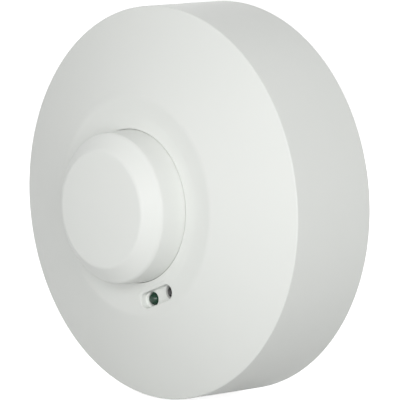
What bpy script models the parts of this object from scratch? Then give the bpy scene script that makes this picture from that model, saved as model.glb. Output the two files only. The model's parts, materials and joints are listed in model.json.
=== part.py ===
"""Round surface-mounted microwave motion sensor, built as an assembly of separate pieces.

A drum-shaped cover with a shallow conical front carries a pull-off radome cap.  The base plate behind it
holds a power board with the terminals and the relay, and a control board with the three setting dials,
the indicator lamp, the light cell and the antenna.

Everything is modelled in the sensor's own frame: the wall is the plane z = 0, +Z points out of the wall
along the sensor's axis, and +Y points up the wall.  One empty then turns the whole sensor, so that its
axis points along the world's -Y and up the wall is the world's +Z.
"""

import math

import bmesh
import bpy
from mathutils import Matrix

MM = 0.001

# ---------------------------------------------------------------- driving dimensions
GAP = 0.3 * MM                      # left between pieces that rest on each other
PAST = 1.0 * MM                     # how far a cutting shape runs past the piece it cuts
ROOT = 0.5 * MM                     # how far a joined shape reaches into the piece it joins
COVER_STEPS = 64                    # facets round the cover and the cap
BASE_STEPS = 48                     # facets round the base plate
SMALL_STEPS = 12                    # facets round the small turned pieces

# Front cover: a drum with a conical front, a flat shelf and a round well for the cap.
REAR_RADIUS = 50.0 * MM
RIM_RADIUS = 49.65 * MM
RIM_EDGE = 0.45 * MM                # softened edge between the side wall and the front
RIM_HEIGHT = 24.9 * MM
SHELF_RADIUS = 27.5 * MM
SHELF_HEIGHT = 32.9 * MM
CONE_BULGE = 0.38 * MM              # how far the cone stands proud of a straight line
CONE_POINTS = 5
WELL_RADIUS = 19.4 * MM
WELL_HEIGHT = 33.3 * MM
WELL_FLOOR = 28.8 * MM
WELL_FLOOR_THICKNESS = 1.8 * MM
WELL_WALL = 1.6 * MM
COVER_WALL = 2.2 * MM
COVER_FRONT = 2.0 * MM
COVER_REAR = 0.0                    # the cover's edge meets the wall
COVER_RIBS = 8                      # inside the side wall, meeting the base plate's rim
COVER_RIB_SIZE = (1.2 * MM, 3.2 * MM, 14.0 * MM)
COVER_RIB_FOOT = 8.0 * MM
ANTENNA_OPENING = 9.0 * MM

# Radome cap: a drafted wall, a broad chamfer and a nearly flat top.
CAP_RADIUS = 19.1 * MM
CAP_SHOULDER = (18.75 * MM, 40.4 * MM)
CAP_TOP_EDGE = (14.65 * MM, 44.05 * MM)
CAP_CROWN = 44.5 * MM
CAP_WALL = 1.8 * MM
CAP_BOTTOM = WELL_FLOOR + GAP
CAP_SLOTS = 6
CAP_SLOT_SIZE = (1.2 * MM, 3.0 * MM)

# Window: a sunk round-ended pocket in the shelf, with a hole for the lamp and one for the light cell.
WINDOW_DISTANCE = 23.44 * MM        # from the axis to the middle between the two holes
WINDOW_ANGLE = math.radians(-68.5)
POCKET_SHIFT = -0.35 * MM           # from that middle to the pocket's own, towards the lamp
POCKET_HALF_WIDTH = 1.85 * MM
POCKET_HALF_SPAN = 3.9 * MM         # from the pocket's middle to the centre of each round end
POCKET_FLOOR = 31.2 * MM
POCKET_FLOOR_THICKNESS = 1.4 * MM
POCKET_WALL = 1.2 * MM
WINDOW_HOLE = 1.7 * MM
WINDOW_OFFSET = 3.3 * MM            # from the middle to each hole

# Base plate.
BASE_RADIUS = 47.3 * MM
BASE_THICKNESS = 2.6 * MM
BASE_RIM = (44.6 * MM, 46.2 * MM, 7.0 * MM)
CABLE_ENTRY = (0.0, 33.0 * MM)
CABLE_HOLE = 7.0 * MM
CABLE_COUNTERBORE = (9.0 * MM, 1.4 * MM)
GROMMET_BORE = 4.5 * MM
CABLE_CHANNEL = (9.0 * MM, 1.2 * MM)
KEYHOLE_HEAD = (27.0 * MM, 22.0 * MM, 4.3 * MM)
KEYHOLE_SLOT = (28.5 * MM, 2.3 * MM)
BOTTOM_SLOT = (-39.0 * MM, 4.0 * MM, 2.2 * MM)

# Boards.  A part that stands on a board is kept a gap off it.
BOARD = 1.6 * MM
POWER_BOARD = 8.0 * MM
POWER_BOARD_RADIUS = 42.5 * MM
POWER_BOARD_TOP = 20.0 * MM
POWER_BOARD_BOTTOM = -33.0 * MM
CONTROL_BOARD = 21.0 * MM
CONTROL_BOARD_RADIUS = 21.0 * MM
CONTROL_BOARD_TOP = 17.5 * MM
CONTROL_TONGUE_WIDTH = 4.4 * MM     # half the width of the round-ended tongue under the window
ON_POWER = POWER_BOARD + BOARD + GAP
ON_CONTROL = CONTROL_BOARD + BOARD + GAP

# Fixings.
COVER_SCREW_DISTANCE = 14.2 * MM
COVER_SCREW_ANGLES = (30, 150, 270)
COVER_SCREW_TIP = 13.5 * MM
PILLAR_RADIUS = 3.2 * MM
PILLAR_BORE = 1.75 * MM
SCREW_SHANK = 1.4 * MM
SCREW_HEAD = (2.7 * MM, 2.0 * MM)
SCREW_RECESS = 0.6 * MM             # width of the cross recess
POWER_SCREW_TIP = 2.5 * MM
CONTROL_SCREW_TIP = 15.0 * MM
CONTROL_SCREW_BORE = 13.0 * MM      # where the bore in each control board pillar ends
POWER_SCREW_BORE = 1.2 * MM
POWER_SCREWS = ((-34.0 * MM, -22.0 * MM), (36.0 * MM, -16.0 * MM), (13.0 * MM, 16.0 * MM))
CONTROL_SCREWS = ((18.0 * MM, 0.0), (-18.0 * MM, 0.0), (-8.0 * MM, -15.5 * MM))

# Dials and their trimmers.
DIAL_DISTANCE = 12.5 * MM
DIALS = (("sensitivity", 90), ("time", 210), ("light_level", 330))
DIAL_RADIUS = 2.8 * MM
DIAL_TOP = 30.8 * MM
DIAL_SLOT = (0.9 * MM, 4.2 * MM, 1.2 * MM)
TRIMMER_SIDE = 6.6 * MM
TRIMMER_HEIGHT = 3.6 * MM

# Terminal block: three rising-cage clamps.
TERMINAL_AT = (-29.0 * MM, 13.5 * MM)
TERMINAL_PITCH = 5.4 * MM
TERMINAL_SIZE = (17.6 * MM, 9.0 * MM, 10.4 * MM)
TERMINAL_CAVITY = (4.4 * MM, 10.9 * MM, 17.0 * MM)   # width, lowest and highest point
TERMINAL_OPENING_SHIFT = 1.8 * MM   # brings each wire opening out through the block's upper face
TERMINAL_SCREW_HOLE = 1.95 * MM
TERMINAL_SCREW = (1.6 * MM, 0.95 * MM)               # radius of the head and of the shank
TERMINAL_SCREW_SLOT = (0.5 * MM, 0.8 * MM)
CLAMP_SIZE = (3.8 * MM, 3.6 * MM, 4.3 * MM)
CLAMP_WINDOW = (2.6 * MM, 2.5 * MM)
CLAMP_FLOOR = 0.6 * MM
CLAMP_HOLE = 1.25 * MM
CLAMP_FOOT = 11.2 * MM

# Relay.
RELAY_AT = (-30.0 * MM, -8.0 * MM)
RELAY_SIZE = (15.4 * MM, 19.0 * MM, 15.0 * MM)
RELAY_WALL = 0.8 * MM
RELAY_BASE = 1.2 * MM
COIL_AT = (-30.0 * MM, -10.5 * MM)
COIL_HEIGHT = 9.0 * MM
COIL_RADII = (2.2 * MM, 3.7 * MM, 4.4 * MM)          # core, winding and cheeks
COIL_CHEEK = 0.8 * MM
COIL_CORE_PROUD = 0.5 * MM
ARMATURE_PIVOT = (-4.4 * MM, 22.5 * MM)              # across the wall and out of it
ARMATURE_THICKNESS = 0.8 * MM
ARMATURE_LENGTH = 12.4 * MM
ARMATURE_WIDTH = 8.0 * MM
ARMATURE_HEEL = 0.6 * MM            # how far the flap reaches behind its hinge line
MOVING_CONTACT = (1.0 * MM, 0.7 * MM)
MOVING_CONTACT_INSET = 1.6 * MM
YOKE_THICKNESS = 1.0 * MM
YOKE_SHIFT = -0.1 * MM              # from the hinge line to the yoke's middle
FIXED_CONTACT = (3.0 * MM, 0.8 * MM, 8.9 * MM)
FIXED_CONTACT_Y = -15.9 * MM

# Other parts on the power board: each one's place and size.
SUPPRESSION_CAPACITOR = ((30.0 * MM, 9.0 * MM, 0.0), (8.5 * MM, 18.0 * MM, 14.5 * MM))
SMOOTHING_CAPACITOR = ((28.5 * MM, -10.5 * MM, 0.0), 5.0 * MM, 14.0 * MM)
RESERVOIR_CAPACITOR = ((20.0 * MM, -26.0 * MM, 0.0), 4.0 * MM, 11.5 * MM)
BRIDGE_RECTIFIER = ((4.0 * MM, -1.0 * MM, 0.0), (8.0 * MM, 6.4 * MM, 3.2 * MM))
POWER_CHIP = ((-3.0 * MM, 9.5 * MM, 0.0), (9.4 * MM, 6.2 * MM, 3.3 * MM))
LINK_HEADER = ((0.0, -8.0 * MM, 0.0), (15.2 * MM, 2.5 * MM))
VARISTOR_AT = (-14.0 * MM, -28.0 * MM)
VARISTOR_RADIUS = 4.8 * MM
VARISTOR_THICKNESS = 4.0 * MM
VARISTOR_LIFT = 2.0 * MM
FUSE_AT = (-25.5 * MM, -25.0 * MM)
FUSE_RADIUS = 4.2 * MM
FUSE_HEIGHT = 7.6 * MM
FUSE_LIFT = 0.6 * MM
LEAD_OFFSET = 2.5 * MM              # from the middle of the varistor or the fuse to each lead
LEAD = 0.8 * MM
INDUCTOR_AT = (3.0 * MM, -27.0 * MM, 0.0)
INDUCTOR_RADII = (3.2 * MM, 3.8 * MM)                # winding and flanges
INDUCTOR_FLANGE = 1.2 * MM
INDUCTOR_HEIGHT = 9.0 * MM

# Lamp and light cell: two domed 3 mm packages, each standing on a spacer.
PACKAGE_RADIUS = 1.5 * MM
PACKAGE_FLANGE = (1.9 * MM, 1.0 * MM)
PACKAGE_HEIGHT = 5.3 * MM
SPACER_RADIUS = 1.9 * MM
LAMP_PROUD = 0.95 * MM              # how far the dome stands proud of the pocket's floor
CELL_PROUD = 0.4 * MM

# Antenna module.
ANTENNA_BOARD = (8.4 * MM, 32.7 * MM, 1.0 * MM)
ANTENNA_PLATE = (10.6 * MM, 36.2 * MM, 0.5 * MM)
ANTENNA_LEG = 0.9 * MM
ANTENNA_POST = (2.4 * MM, 5.0 * MM)
ANTENNA_POST_OFFSET = 6.2 * MM
MICROCONTROLLER = (6.0 * MM, 8.6 * MM, 1.6 * MM)
OSCILLATOR_CAN = (8.6 * MM, 9.6 * MM, 2.2 * MM)

# ---------------------------------------------------------------- scene and helpers
for old in list(bpy.data.objects):
    bpy.data.objects.remove(old)


def new_collection(name):
    collection = bpy.data.collections.new(name)
    bpy.context.scene.collection.children.link(collection)
    return collection


PARTS = new_collection("Motion sensor")
TOOLS = new_collection("Cutters and joining shapes")
FRAME = bpy.data.objects.new("sensor_frame", None)
FRAME.rotation_euler = (math.radians(90), 0, 0)
PARTS.objects.link(FRAME)


def material(name, colour, roughness, metallic=0.0, transmission=0.0):
    made = bpy.data.materials.new(name)
    made.use_nodes = True
    made.diffuse_color = (*colour, 1.0)
    shader = made.node_tree.nodes["Principled BSDF"]
    shader.inputs["Base Color"].default_value = (*colour, 1.0)
    shader.inputs["Roughness"].default_value = roughness
    shader.inputs["Metallic"].default_value = metallic
    shader.inputs["Transmission Weight"].default_value = transmission
    return made


WHITE = material("white_abs", (0.76, 0.78, 0.75), 0.45)
RUBBER = material("black_rubber", (0.03, 0.03, 0.03), 0.8)
BOARD_GREEN = material("green_board", (0.03, 0.16, 0.07), 0.35)
STEEL = material("zinc_plated_steel", (0.62, 0.62, 0.6), 0.3, metallic=1.0)
BRASS = material("nickel_brass", (0.7, 0.62, 0.42), 0.3, metallic=1.0)
COPPER = material("enamelled_copper", (0.5, 0.2, 0.08), 0.35, metallic=1.0)
TERMINAL_GREY = material("grey_polyamide", (0.35, 0.37, 0.38), 0.5)
BLACK_PLASTIC = material("black_plastic", (0.02, 0.02, 0.022), 0.4)
RELAY_BLUE = material("relay_blue", (0.05, 0.16, 0.38), 0.4)
CAPACITOR_YELLOW = material("capacitor_yellow", (0.75, 0.55, 0.1), 0.4)
SLEEVE_DARK = material("capacitor_sleeve", (0.03, 0.035, 0.06), 0.35)
VARISTOR_BLUE = material("varistor_blue", (0.06, 0.2, 0.45), 0.5)
FUSE_BROWN = material("fuse_brown", (0.16, 0.07, 0.03), 0.4)
DIAL_CREAM = material("dial_cream", (0.75, 0.7, 0.55), 0.45)
LAMP_GREEN = material("lamp_green", (0.02, 0.22, 0.1), 0.1, transmission=0.4)
CELL_DARK = material("light_cell", (0.02, 0.02, 0.022), 0.15)


def add(name, mesh, finish, at=(0, 0, 0), turn=0.0, tool=False):
    """Puts a mesh in the sensor's frame as one object, at a point and turned about the sensor's axis."""
    obj = bpy.data.objects.new(name, mesh)
    obj.location = at
    obj.rotation_euler = (0, 0, turn)
    obj.parent = FRAME
    (TOOLS if tool else PARTS).objects.link(obj)
    if tool:
        obj.hide_render = True
        obj.display_type = "WIRE"
    else:
        mesh.materials.append(finish)
    return obj


def from_bmesh(build):
    """A mesh from a function that fills an empty bmesh."""
    grid = bmesh.new()
    build(grid)
    mesh = bpy.data.meshes.new("shape")
    grid.to_mesh(mesh)
    grid.free()
    return mesh


def block(size, low, bevel=0.0):
    """A box centred on x and y, standing on the height `low`."""
    def build(grid):
        middle = Matrix.Translation((0, 0, low + size[2] / 2)) @ Matrix.Diagonal((*size, 1))
        bmesh.ops.create_cube(grid, size=1, matrix=middle)
        if bevel:
            bmesh.ops.bevel(grid, geom=grid.edges[:], offset=bevel, segments=1, affect="EDGES")
    return from_bmesh(build)


def rod(radius, low, high, steps=SMALL_STEPS):
    """A straight round rod along the axis."""
    def build(grid):
        middle = Matrix.Translation((0, 0, (low + high) / 2))
        bmesh.ops.create_cone(grid, cap_ends=True, segments=steps, radius1=radius, radius2=radius,
                              depth=high - low, matrix=middle)
    return from_bmesh(build)


def profile_mesh(points, closed):
    """The half section of a turned piece, as (radius, height) points that run down its outer side."""
    mesh = bpy.data.meshes.new("profile")
    edges = [(i, i + 1) for i in range(len(points) - 1)]
    if closed:
        edges.append((len(points) - 1, 0))
    mesh.from_pydata([(radius, 0, height) for radius, height in points], edges, [])
    return mesh


def turned(name, points, finish=None, at=(0, 0, 0), steps=SMALL_STEPS, closed=False, tool=False):
    """A turned piece: the half section swept round the axis by a Screw modifier."""
    obj = add(name, profile_mesh(points, closed), finish, at=at, tool=tool)
    sweep = obj.modifiers.new("Turn", "SCREW")
    sweep.steps = sweep.render_steps = steps
    sweep.use_merge_vertices = True
    sweep.merge_threshold = 0.00001
    return obj


def arc(centre, radius, start, end, steps):
    """Points of a flat arc between two angles in degrees, both ends included."""
    angles = [math.radians(start + (end - start) * i / steps) for i in range(steps + 1)]
    return [(centre[0] + radius * math.cos(a), centre[1] + radius * math.sin(a)) for a in angles]


def round_ended(half_span, half_width, steps=8):
    """The outline of a slot along X with round ends."""
    return (arc((half_span, 0), half_width, -90, 90, steps)
            + arc((-half_span, 0), half_width, 90, 270, steps))


def plate(outline, low, high):
    """A flat plate of a closed outline, made from a filled 2D curve and welded into one mesh."""
    curve = bpy.data.curves.new("outline", "CURVE")
    curve.dimensions = "2D"
    curve.fill_mode = "BOTH"
    curve.extrude = (high - low) / 2
    spline = curve.splines.new("POLY")
    spline.points.add(len(outline) - 1)
    for point, (x, y) in zip(spline.points, outline):
        point.co = (x, y, 0, 1)
    spline.use_cyclic_u = True
    drawn = bpy.data.objects.new("outline", curve)
    mesh = bpy.data.meshes.new_from_object(drawn)
    bpy.data.objects.remove(drawn)
    mesh.transform(Matrix.Translation((0, 0, (low + high) / 2)))
    grid = bmesh.new()
    grid.from_mesh(mesh)
    bmesh.ops.remove_doubles(grid, verts=grid.verts[:], dist=0.000001)
    bmesh.ops.recalc_face_normals(grid, faces=grid.faces[:])
    grid.to_mesh(mesh)
    grid.free()
    return mesh


def combine(obj, operation, mesh, at=(0, 0, 0), turn=0.0):
    """Cuts a shape from a piece, joins one to it, or keeps only what they share."""
    tool = add(f"{obj.name}.tool", mesh, None, at=at, turn=turn, tool=True)
    step = obj.modifiers.new(operation.title(), "BOOLEAN")
    step.operation = operation
    step.solver = "EXACT"
    step.object = tool
    return tool


def cut(obj, mesh, at=(0, 0, 0), turn=0.0):
    return combine(obj, "DIFFERENCE", mesh, at, turn)


def join(obj, mesh, at=(0, 0, 0), turn=0.0):
    return combine(obj, "UNION", mesh, at, turn)


def keep(obj, mesh, at=(0, 0, 0)):
    return combine(obj, "INTERSECT", mesh, at)


def polar(distance, degrees, height=0.0):
    angle = math.radians(degrees)
    return (distance * math.cos(angle), distance * math.sin(angle), height)


def window_point(offset, height=0.0):
    """A point on the window's long line: the lamp is at a negative offset, the light cell at a positive one."""
    x = WINDOW_DISTANCE * math.cos(WINDOW_ANGLE) - offset * math.sin(WINDOW_ANGLE)
    y = WINDOW_DISTANCE * math.sin(WINDOW_ANGLE) + offset * math.cos(WINDOW_ANGLE)
    return (x, y, height)


WINDOW_TURN = WINDOW_ANGLE + math.radians(90)


# ---------------------------------------------------------------- cover and cap
def cone_height(radius):
    """Height of the cover's conical front, which bulges a little between the rim and the shelf."""
    share = (RIM_RADIUS - radius) / (RIM_RADIUS - SHELF_RADIUS)
    return RIM_HEIGHT + (SHELF_HEIGHT - RIM_HEIGHT) * share + 4 * CONE_BULGE * share * (1 - share)


def front_housing():
    outer_cone = [SHELF_RADIUS + (RIM_RADIUS - SHELF_RADIUS) * i / CONE_POINTS for i in range(CONE_POINTS)]
    inner_rim = RIM_RADIUS - COVER_WALL
    inner_cone = [inner_rim - (inner_rim - SHELF_RADIUS) * i / 2 for i in range(3)]
    under_floor = WELL_FLOOR - WELL_FLOOR_THICKNESS
    well_outside = WELL_RADIUS + WELL_WALL
    section = [
        (ANTENNA_OPENING, WELL_FLOOR),
        (WELL_RADIUS, WELL_FLOOR),
        (WELL_RADIUS, WELL_HEIGHT),
        (WELL_RADIUS + 3.0 * MM, SHELF_HEIGHT + 0.15 * MM),
        *[(radius, cone_height(radius)) for radius in outer_cone],
        (RIM_RADIUS - RIM_EDGE, cone_height(RIM_RADIUS - RIM_EDGE)),
        (RIM_RADIUS, RIM_HEIGHT - RIM_EDGE),
        (REAR_RADIUS, COVER_REAR),
        (REAR_RADIUS - COVER_WALL, COVER_REAR),
        *[(radius, cone_height(radius) - COVER_FRONT) for radius in inner_cone],
        (well_outside, SHELF_HEIGHT - COVER_FRONT),
        (well_outside, under_floor),
        (ANTENNA_OPENING, under_floor),
    ]
    housing = turned("front_housing", section, WHITE, steps=COVER_STEPS, closed=True)
    boss_low = CONTROL_BOARD + BOARD + GAP
    for angle in COVER_SCREW_ANGLES:
        join(housing, rod(PILLAR_RADIUS, boss_low, WELL_FLOOR - ROOT), polar(COVER_SCREW_DISTANCE, angle))
    for angle in COVER_SCREW_ANGLES:
        cut(housing, rod(PILLAR_BORE, boss_low - PAST, WELL_FLOOR + PAST), polar(COVER_SCREW_DISTANCE, angle))
    for _, angle in DIALS:
        cut(housing, rod(DIAL_RADIUS + GAP, under_floor - PAST, WELL_FLOOR + PAST), polar(DIAL_DISTANCE, angle))
    tray = POCKET_FLOOR - POCKET_FLOOR_THICKNESS
    tray_outline = round_ended(POCKET_HALF_SPAN, POCKET_HALF_WIDTH + POCKET_WALL)
    join(housing, plate(tray_outline, tray, SHELF_HEIGHT - ROOT), window_point(POCKET_SHIFT), WINDOW_TURN)
    pocket_outline = round_ended(POCKET_HALF_SPAN, POCKET_HALF_WIDTH)
    cut(housing, plate(pocket_outline, POCKET_FLOOR, WELL_HEIGHT + PAST), window_point(POCKET_SHIFT), WINDOW_TURN)
    for offset in (-WINDOW_OFFSET, WINDOW_OFFSET):
        cut(housing, rod(WINDOW_HOLE, tray - PAST, POCKET_FLOOR + PAST), window_point(offset))
    rib_distance = REAR_RADIUS - COVER_WALL - COVER_RIB_SIZE[0] / 2
    for i in range(COVER_RIBS):
        angle = 360 / COVER_RIBS * (i + 0.5)
        join(housing, block(COVER_RIB_SIZE, COVER_RIB_FOOT), polar(rib_distance, angle), math.radians(angle + 90))


def radome_cap():
    shoulder_radius, shoulder_height = CAP_SHOULDER
    edge_radius, edge_height = CAP_TOP_EDGE
    section = [
        (0.0, CAP_CROWN),
        (edge_radius / 2, CAP_CROWN - (CAP_CROWN - edge_height) / 4),
        (edge_radius, edge_height),
        (shoulder_radius - 0.5 * MM, shoulder_height + 0.5 * MM),
        (shoulder_radius, shoulder_height - 0.2 * MM),
        (CAP_RADIUS, WELL_HEIGHT),
        (CAP_RADIUS, CAP_BOTTOM),
        (CAP_RADIUS - CAP_WALL, CAP_BOTTOM),
        (CAP_RADIUS - CAP_WALL, WELL_HEIGHT),
        (shoulder_radius - CAP_WALL, shoulder_height - 0.9 * MM),
        (edge_radius - 0.7 * MM, edge_height - CAP_WALL),
        (0.0, CAP_CROWN - CAP_WALL),
    ]
    cap = turned("radome_cap", section, WHITE, steps=COVER_STEPS)
    slot_width, slot_height = CAP_SLOT_SIZE
    for i in range(CAP_SLOTS):
        angle = 360 / CAP_SLOTS * i
        slot = block((3 * CAP_WALL, slot_width, slot_height + PAST), CAP_BOTTOM - PAST)
        cut(cap, slot, polar(CAP_RADIUS - CAP_WALL / 2, angle), math.radians(angle))


# ---------------------------------------------------------------- base plate
def base_plate():
    rim_inside, rim_outside, rim_top = BASE_RIM
    section = [
        (0.0, BASE_THICKNESS),
        (rim_inside, BASE_THICKNESS),
        (rim_inside, rim_top),
        (rim_outside, rim_top),
        (rim_outside, BASE_THICKNESS),
        (BASE_RADIUS, BASE_THICKNESS),
        (BASE_RADIUS, 0.0),
        (0.0, 0.0),
    ]
    base = turned("base_plate", section, WHITE, steps=BASE_STEPS)
    rooted = BASE_THICKNESS - 2 * ROOT
    for angle in COVER_SCREW_ANGLES:
        place = polar(COVER_SCREW_DISTANCE, angle)
        join(base, rod(PILLAR_RADIUS, rooted, CONTROL_BOARD - GAP), place)
        cut(base, rod(PILLAR_BORE, COVER_SCREW_TIP - PAST, CONTROL_BOARD + PAST), place)
    for x, y in CONTROL_SCREWS:
        join(base, rod(PILLAR_RADIUS, rooted, CONTROL_BOARD - GAP), (x, y, 0))
        cut(base, rod(PILLAR_BORE, CONTROL_SCREW_BORE, CONTROL_BOARD + PAST), (x, y, 0))
    for x, y in POWER_SCREWS:
        join(base, rod(PILLAR_RADIUS, rooted, POWER_BOARD - GAP), (x, y, 0))
        cut(base, rod(PILLAR_BORE, POWER_SCREW_BORE, POWER_BOARD + PAST), (x, y, 0))
    cut_cable_entry(base)
    head_x, head_y, head_radius = KEYHOLE_HEAD
    slot_top, slot_radius = KEYHOLE_SLOT
    slot_half = (slot_top - head_y) / 2
    for x in (-head_x, head_x):
        cut(base, rod(head_radius, -PAST, BASE_THICKNESS + PAST, 24), (x, head_y, 0))
        slot = plate(round_ended(slot_half, slot_radius), -PAST, BASE_THICKNESS + PAST)
        cut(base, slot, (x, (slot_top + head_y) / 2, 0), math.radians(90))
    slot_y, slot_span, slot_width = BOTTOM_SLOT
    cut(base, plate(round_ended(slot_span, slot_width), -PAST, BASE_THICKNESS + PAST), (0, slot_y, 0))


def cut_cable_entry(base):
    """The grommet's seat, its hole, and a channel in the rear face for a cable that lies on the wall."""
    x, y = CABLE_ENTRY
    flange_radius, flange_depth = CABLE_COUNTERBORE
    cut(base, rod(flange_radius, -PAST, flange_depth, 24), (x, y, 0))
    cut(base, rod(CABLE_HOLE, -PAST, BASE_THICKNESS + PAST, 24), (x, y, 0))
    width, depth = CABLE_CHANNEL
    low, high = y + PAST, BASE_RADIUS + 3 * PAST
    cut(base, block((width, high - low, depth + PAST), -PAST), (x, (low + high) / 2, 0))


def cable_grommet():
    x, y = CABLE_ENTRY
    flange = CABLE_COUNTERBORE[0] - 0.4 * MM
    neck = CABLE_HOLE - GAP
    rear_flange_top = CABLE_COUNTERBORE[1] - GAP
    front_flange = BASE_THICKNESS + GAP
    section = [
        (GROMMET_BORE, front_flange + 1.3 * MM),
        (flange - 0.5 * MM, front_flange + 1.3 * MM),
        (flange, front_flange + 0.8 * MM),
        (flange, front_flange),
        (neck, front_flange),
        (neck, rear_flange_top),
        (flange, rear_flange_top),
        (flange, 0.2 * MM),
        (GROMMET_BORE, 0.2 * MM),
    ]
    turned("cable_grommet", section, RUBBER, at=(x, y, 0), steps=20, closed=True)


# ---------------------------------------------------------------- screws
def screw(name, place, seat, tip):
    """A pan-head screw with a cross recess, its head resting just off the height `seat`."""
    head_radius, head_height = SCREW_HEAD
    low = seat + GAP
    top = low + head_height
    section = [
        (0.0, top),
        (head_radius * 0.6, top - head_height * 0.1),
        (head_radius, top - head_height * 0.5),
        (head_radius, low),
        (SCREW_SHANK, low),
        (SCREW_SHANK, tip + SCREW_SHANK),
        (0.0, tip),
    ]
    made = turned(name, section, STEEL, at=(place[0], place[1], 0))
    for turn in (45, 135):
        cut(made, block((head_radius * 1.1, SCREW_RECESS, head_height), top - head_height * 0.55),
            place, math.radians(turn))


def all_screws():
    for number, angle in enumerate(COVER_SCREW_ANGLES, 1):
        screw(f"cover_screw_{number}", polar(COVER_SCREW_DISTANCE, angle), WELL_FLOOR, COVER_SCREW_TIP)
    for number, (x, y) in enumerate(POWER_SCREWS, 1):
        screw(f"power_board_screw_{number}", (x, y, 0), POWER_BOARD + BOARD, POWER_SCREW_TIP)
    for number, (x, y) in enumerate(CONTROL_SCREWS, 1):
        screw(f"control_board_screw_{number}", (x, y, 0), CONTROL_BOARD + BOARD, CONTROL_SCREW_TIP)


# ---------------------------------------------------------------- power board
def power_board():
    board = add("power_board", rod(POWER_BOARD_RADIUS, POWER_BOARD, POWER_BOARD + BOARD, 64), BOARD_GREEN)
    height = POWER_BOARD_TOP - POWER_BOARD_BOTTOM
    middle = (POWER_BOARD_TOP + POWER_BOARD_BOTTOM) / 2
    keep(board, block((2.2 * POWER_BOARD_RADIUS, height, 3 * BOARD), POWER_BOARD - BOARD), (0, middle, 0))
    pillars = [polar(COVER_SCREW_DISTANCE, angle) for angle in COVER_SCREW_ANGLES]
    pillars += [(x, y, 0) for x, y in CONTROL_SCREWS]
    low, high = POWER_BOARD - PAST, POWER_BOARD + BOARD + PAST
    for place in pillars:
        cut(board, rod(PILLAR_RADIUS + 2 * GAP, low, high), place)
    for x, y in POWER_SCREWS:
        cut(board, rod(PILLAR_BORE, low, high), (x, y, 0))


def terminal_block():
    x, y = TERMINAL_AT
    width, depth, height = TERMINAL_SIZE
    body = add("terminal_block", block(TERMINAL_SIZE, ON_POWER, 0.3 * MM), TERMINAL_GREY, (x, y, 0))
    cavity_width, cavity_low, cavity_high = TERMINAL_CAVITY
    top = ON_POWER + height
    for number in (1, 2, 3):
        middle = (x + (number - 2) * TERMINAL_PITCH, y, 0)
        opening = block((cavity_width, depth, cavity_high - cavity_low), cavity_low)
        cut(body, opening, (middle[0], y + TERMINAL_OPENING_SHIFT, 0))
        cut(body, rod(TERMINAL_SCREW_HOLE, cavity_high - ROOT, top + PAST), middle)
        terminal_screw(number, middle, top)
        terminal_clamp(number, middle)


def terminal_screw(number, middle, top):
    """A slotted screw, with room for its clamp to rise under the head."""
    head, shank = TERMINAL_SCREW
    slot_width, slot_depth = TERMINAL_SCREW_SLOT
    head_top = top - 0.4 * MM
    head_low = CLAMP_FOOT + CLAMP_SIZE[2] + 2.0 * MM
    tip = CLAMP_FOOT + CLAMP_FLOOR + CLAMP_WINDOW[1] - GAP
    section = [(0.0, head_top), (head, head_top), (head, head_low), (shank, head_low), (shank, tip), (0.0, tip)]
    made = turned(f"terminal_screw_{number}", section, STEEL, at=middle)
    cut(made, block((4 * head, slot_width, slot_depth + PAST), head_top - slot_depth), middle)


def terminal_clamp(number, middle):
    """A square cage that the screw draws up, with a window for the wire and a hole for the screw."""
    depth, height = CLAMP_SIZE[1:]
    window_width, window_height = CLAMP_WINDOW
    window_low = CLAMP_FOOT + CLAMP_FLOOR
    cage = add(f"terminal_clamp_{number}", block(CLAMP_SIZE, CLAMP_FOOT), BRASS, middle)
    cut(cage, block((window_width, 2 * depth, window_height), window_low), middle)
    cut(cage, rod(CLAMP_HOLE, window_low + window_height - ROOT / 2, CLAMP_FOOT + height + PAST), middle)


def relay():
    x, y = RELAY_AT
    width, depth, height = RELAY_SIZE
    case = add("relay_case", block(RELAY_SIZE, ON_POWER, 0.4 * MM), RELAY_BLUE, (x, y, 0))
    inside = (width - 2 * RELAY_WALL, depth - 2 * RELAY_WALL, height)
    cut(case, block(inside, ON_POWER - RELAY_WALL), (x, y, 0))
    foot = (inside[0] - 2 * GAP, inside[1] - 2 * GAP, RELAY_BASE)
    add("relay_base", block(foot, ON_POWER), BLACK_PLASTIC, (x, y, 0))
    floor = ON_POWER + RELAY_BASE + GAP
    coil_x, coil_y = COIL_AT
    core, winding, cheek = COIL_RADII
    top = floor + COIL_HEIGHT
    section = [
        (0.0, top + COIL_CORE_PROUD),
        (core, top + COIL_CORE_PROUD),
        (core, top),
        (cheek, top),
        (cheek, top - COIL_CHEEK),
        (winding, top - COIL_CHEEK),
        (winding, floor + COIL_CHEEK),
        (cheek, floor + COIL_CHEEK),
        (cheek, floor),
        (0.0, floor),
    ]
    turned("relay_coil", section, COPPER, at=(coil_x, coil_y, 0), steps=20)
    pivot_y, pivot_z = ARMATURE_PIVOT
    yoke_top = pivot_z - ARMATURE_THICKNESS / 2 - GAP
    yoke_size = (ARMATURE_WIDTH, YOKE_THICKNESS, yoke_top - floor)
    add("relay_yoke", block(yoke_size, floor), STEEL, (coil_x, pivot_y + YOKE_SHIFT, 0))
    add("relay_contact", block(FIXED_CONTACT, floor), BRASS, (coil_x, FIXED_CONTACT_Y, 0))
    relay_armature(coil_x, pivot_y, pivot_z)


def relay_armature(x, pivot_y, pivot_z):
    """A flat iron flap with its origin on its hinge line, reaching over the coil, with a contact at its end."""
    half = ARMATURE_THICKNESS / 2
    flap = add("relay_armature", block((ARMATURE_WIDTH, ARMATURE_LENGTH, ARMATURE_THICKNESS), -half), STEEL)
    flap.data.transform(Matrix.Translation((0, ARMATURE_HEEL - ARMATURE_LENGTH / 2, 0)))
    flap.location = (x, pivot_y, pivot_z)
    contact_radius, contact_height = MOVING_CONTACT
    contact_y = pivot_y - ARMATURE_LENGTH + MOVING_CONTACT_INSET
    join(flap, rod(contact_radius, pivot_z - half - contact_height, pivot_z), (x, contact_y, 0))


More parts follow.
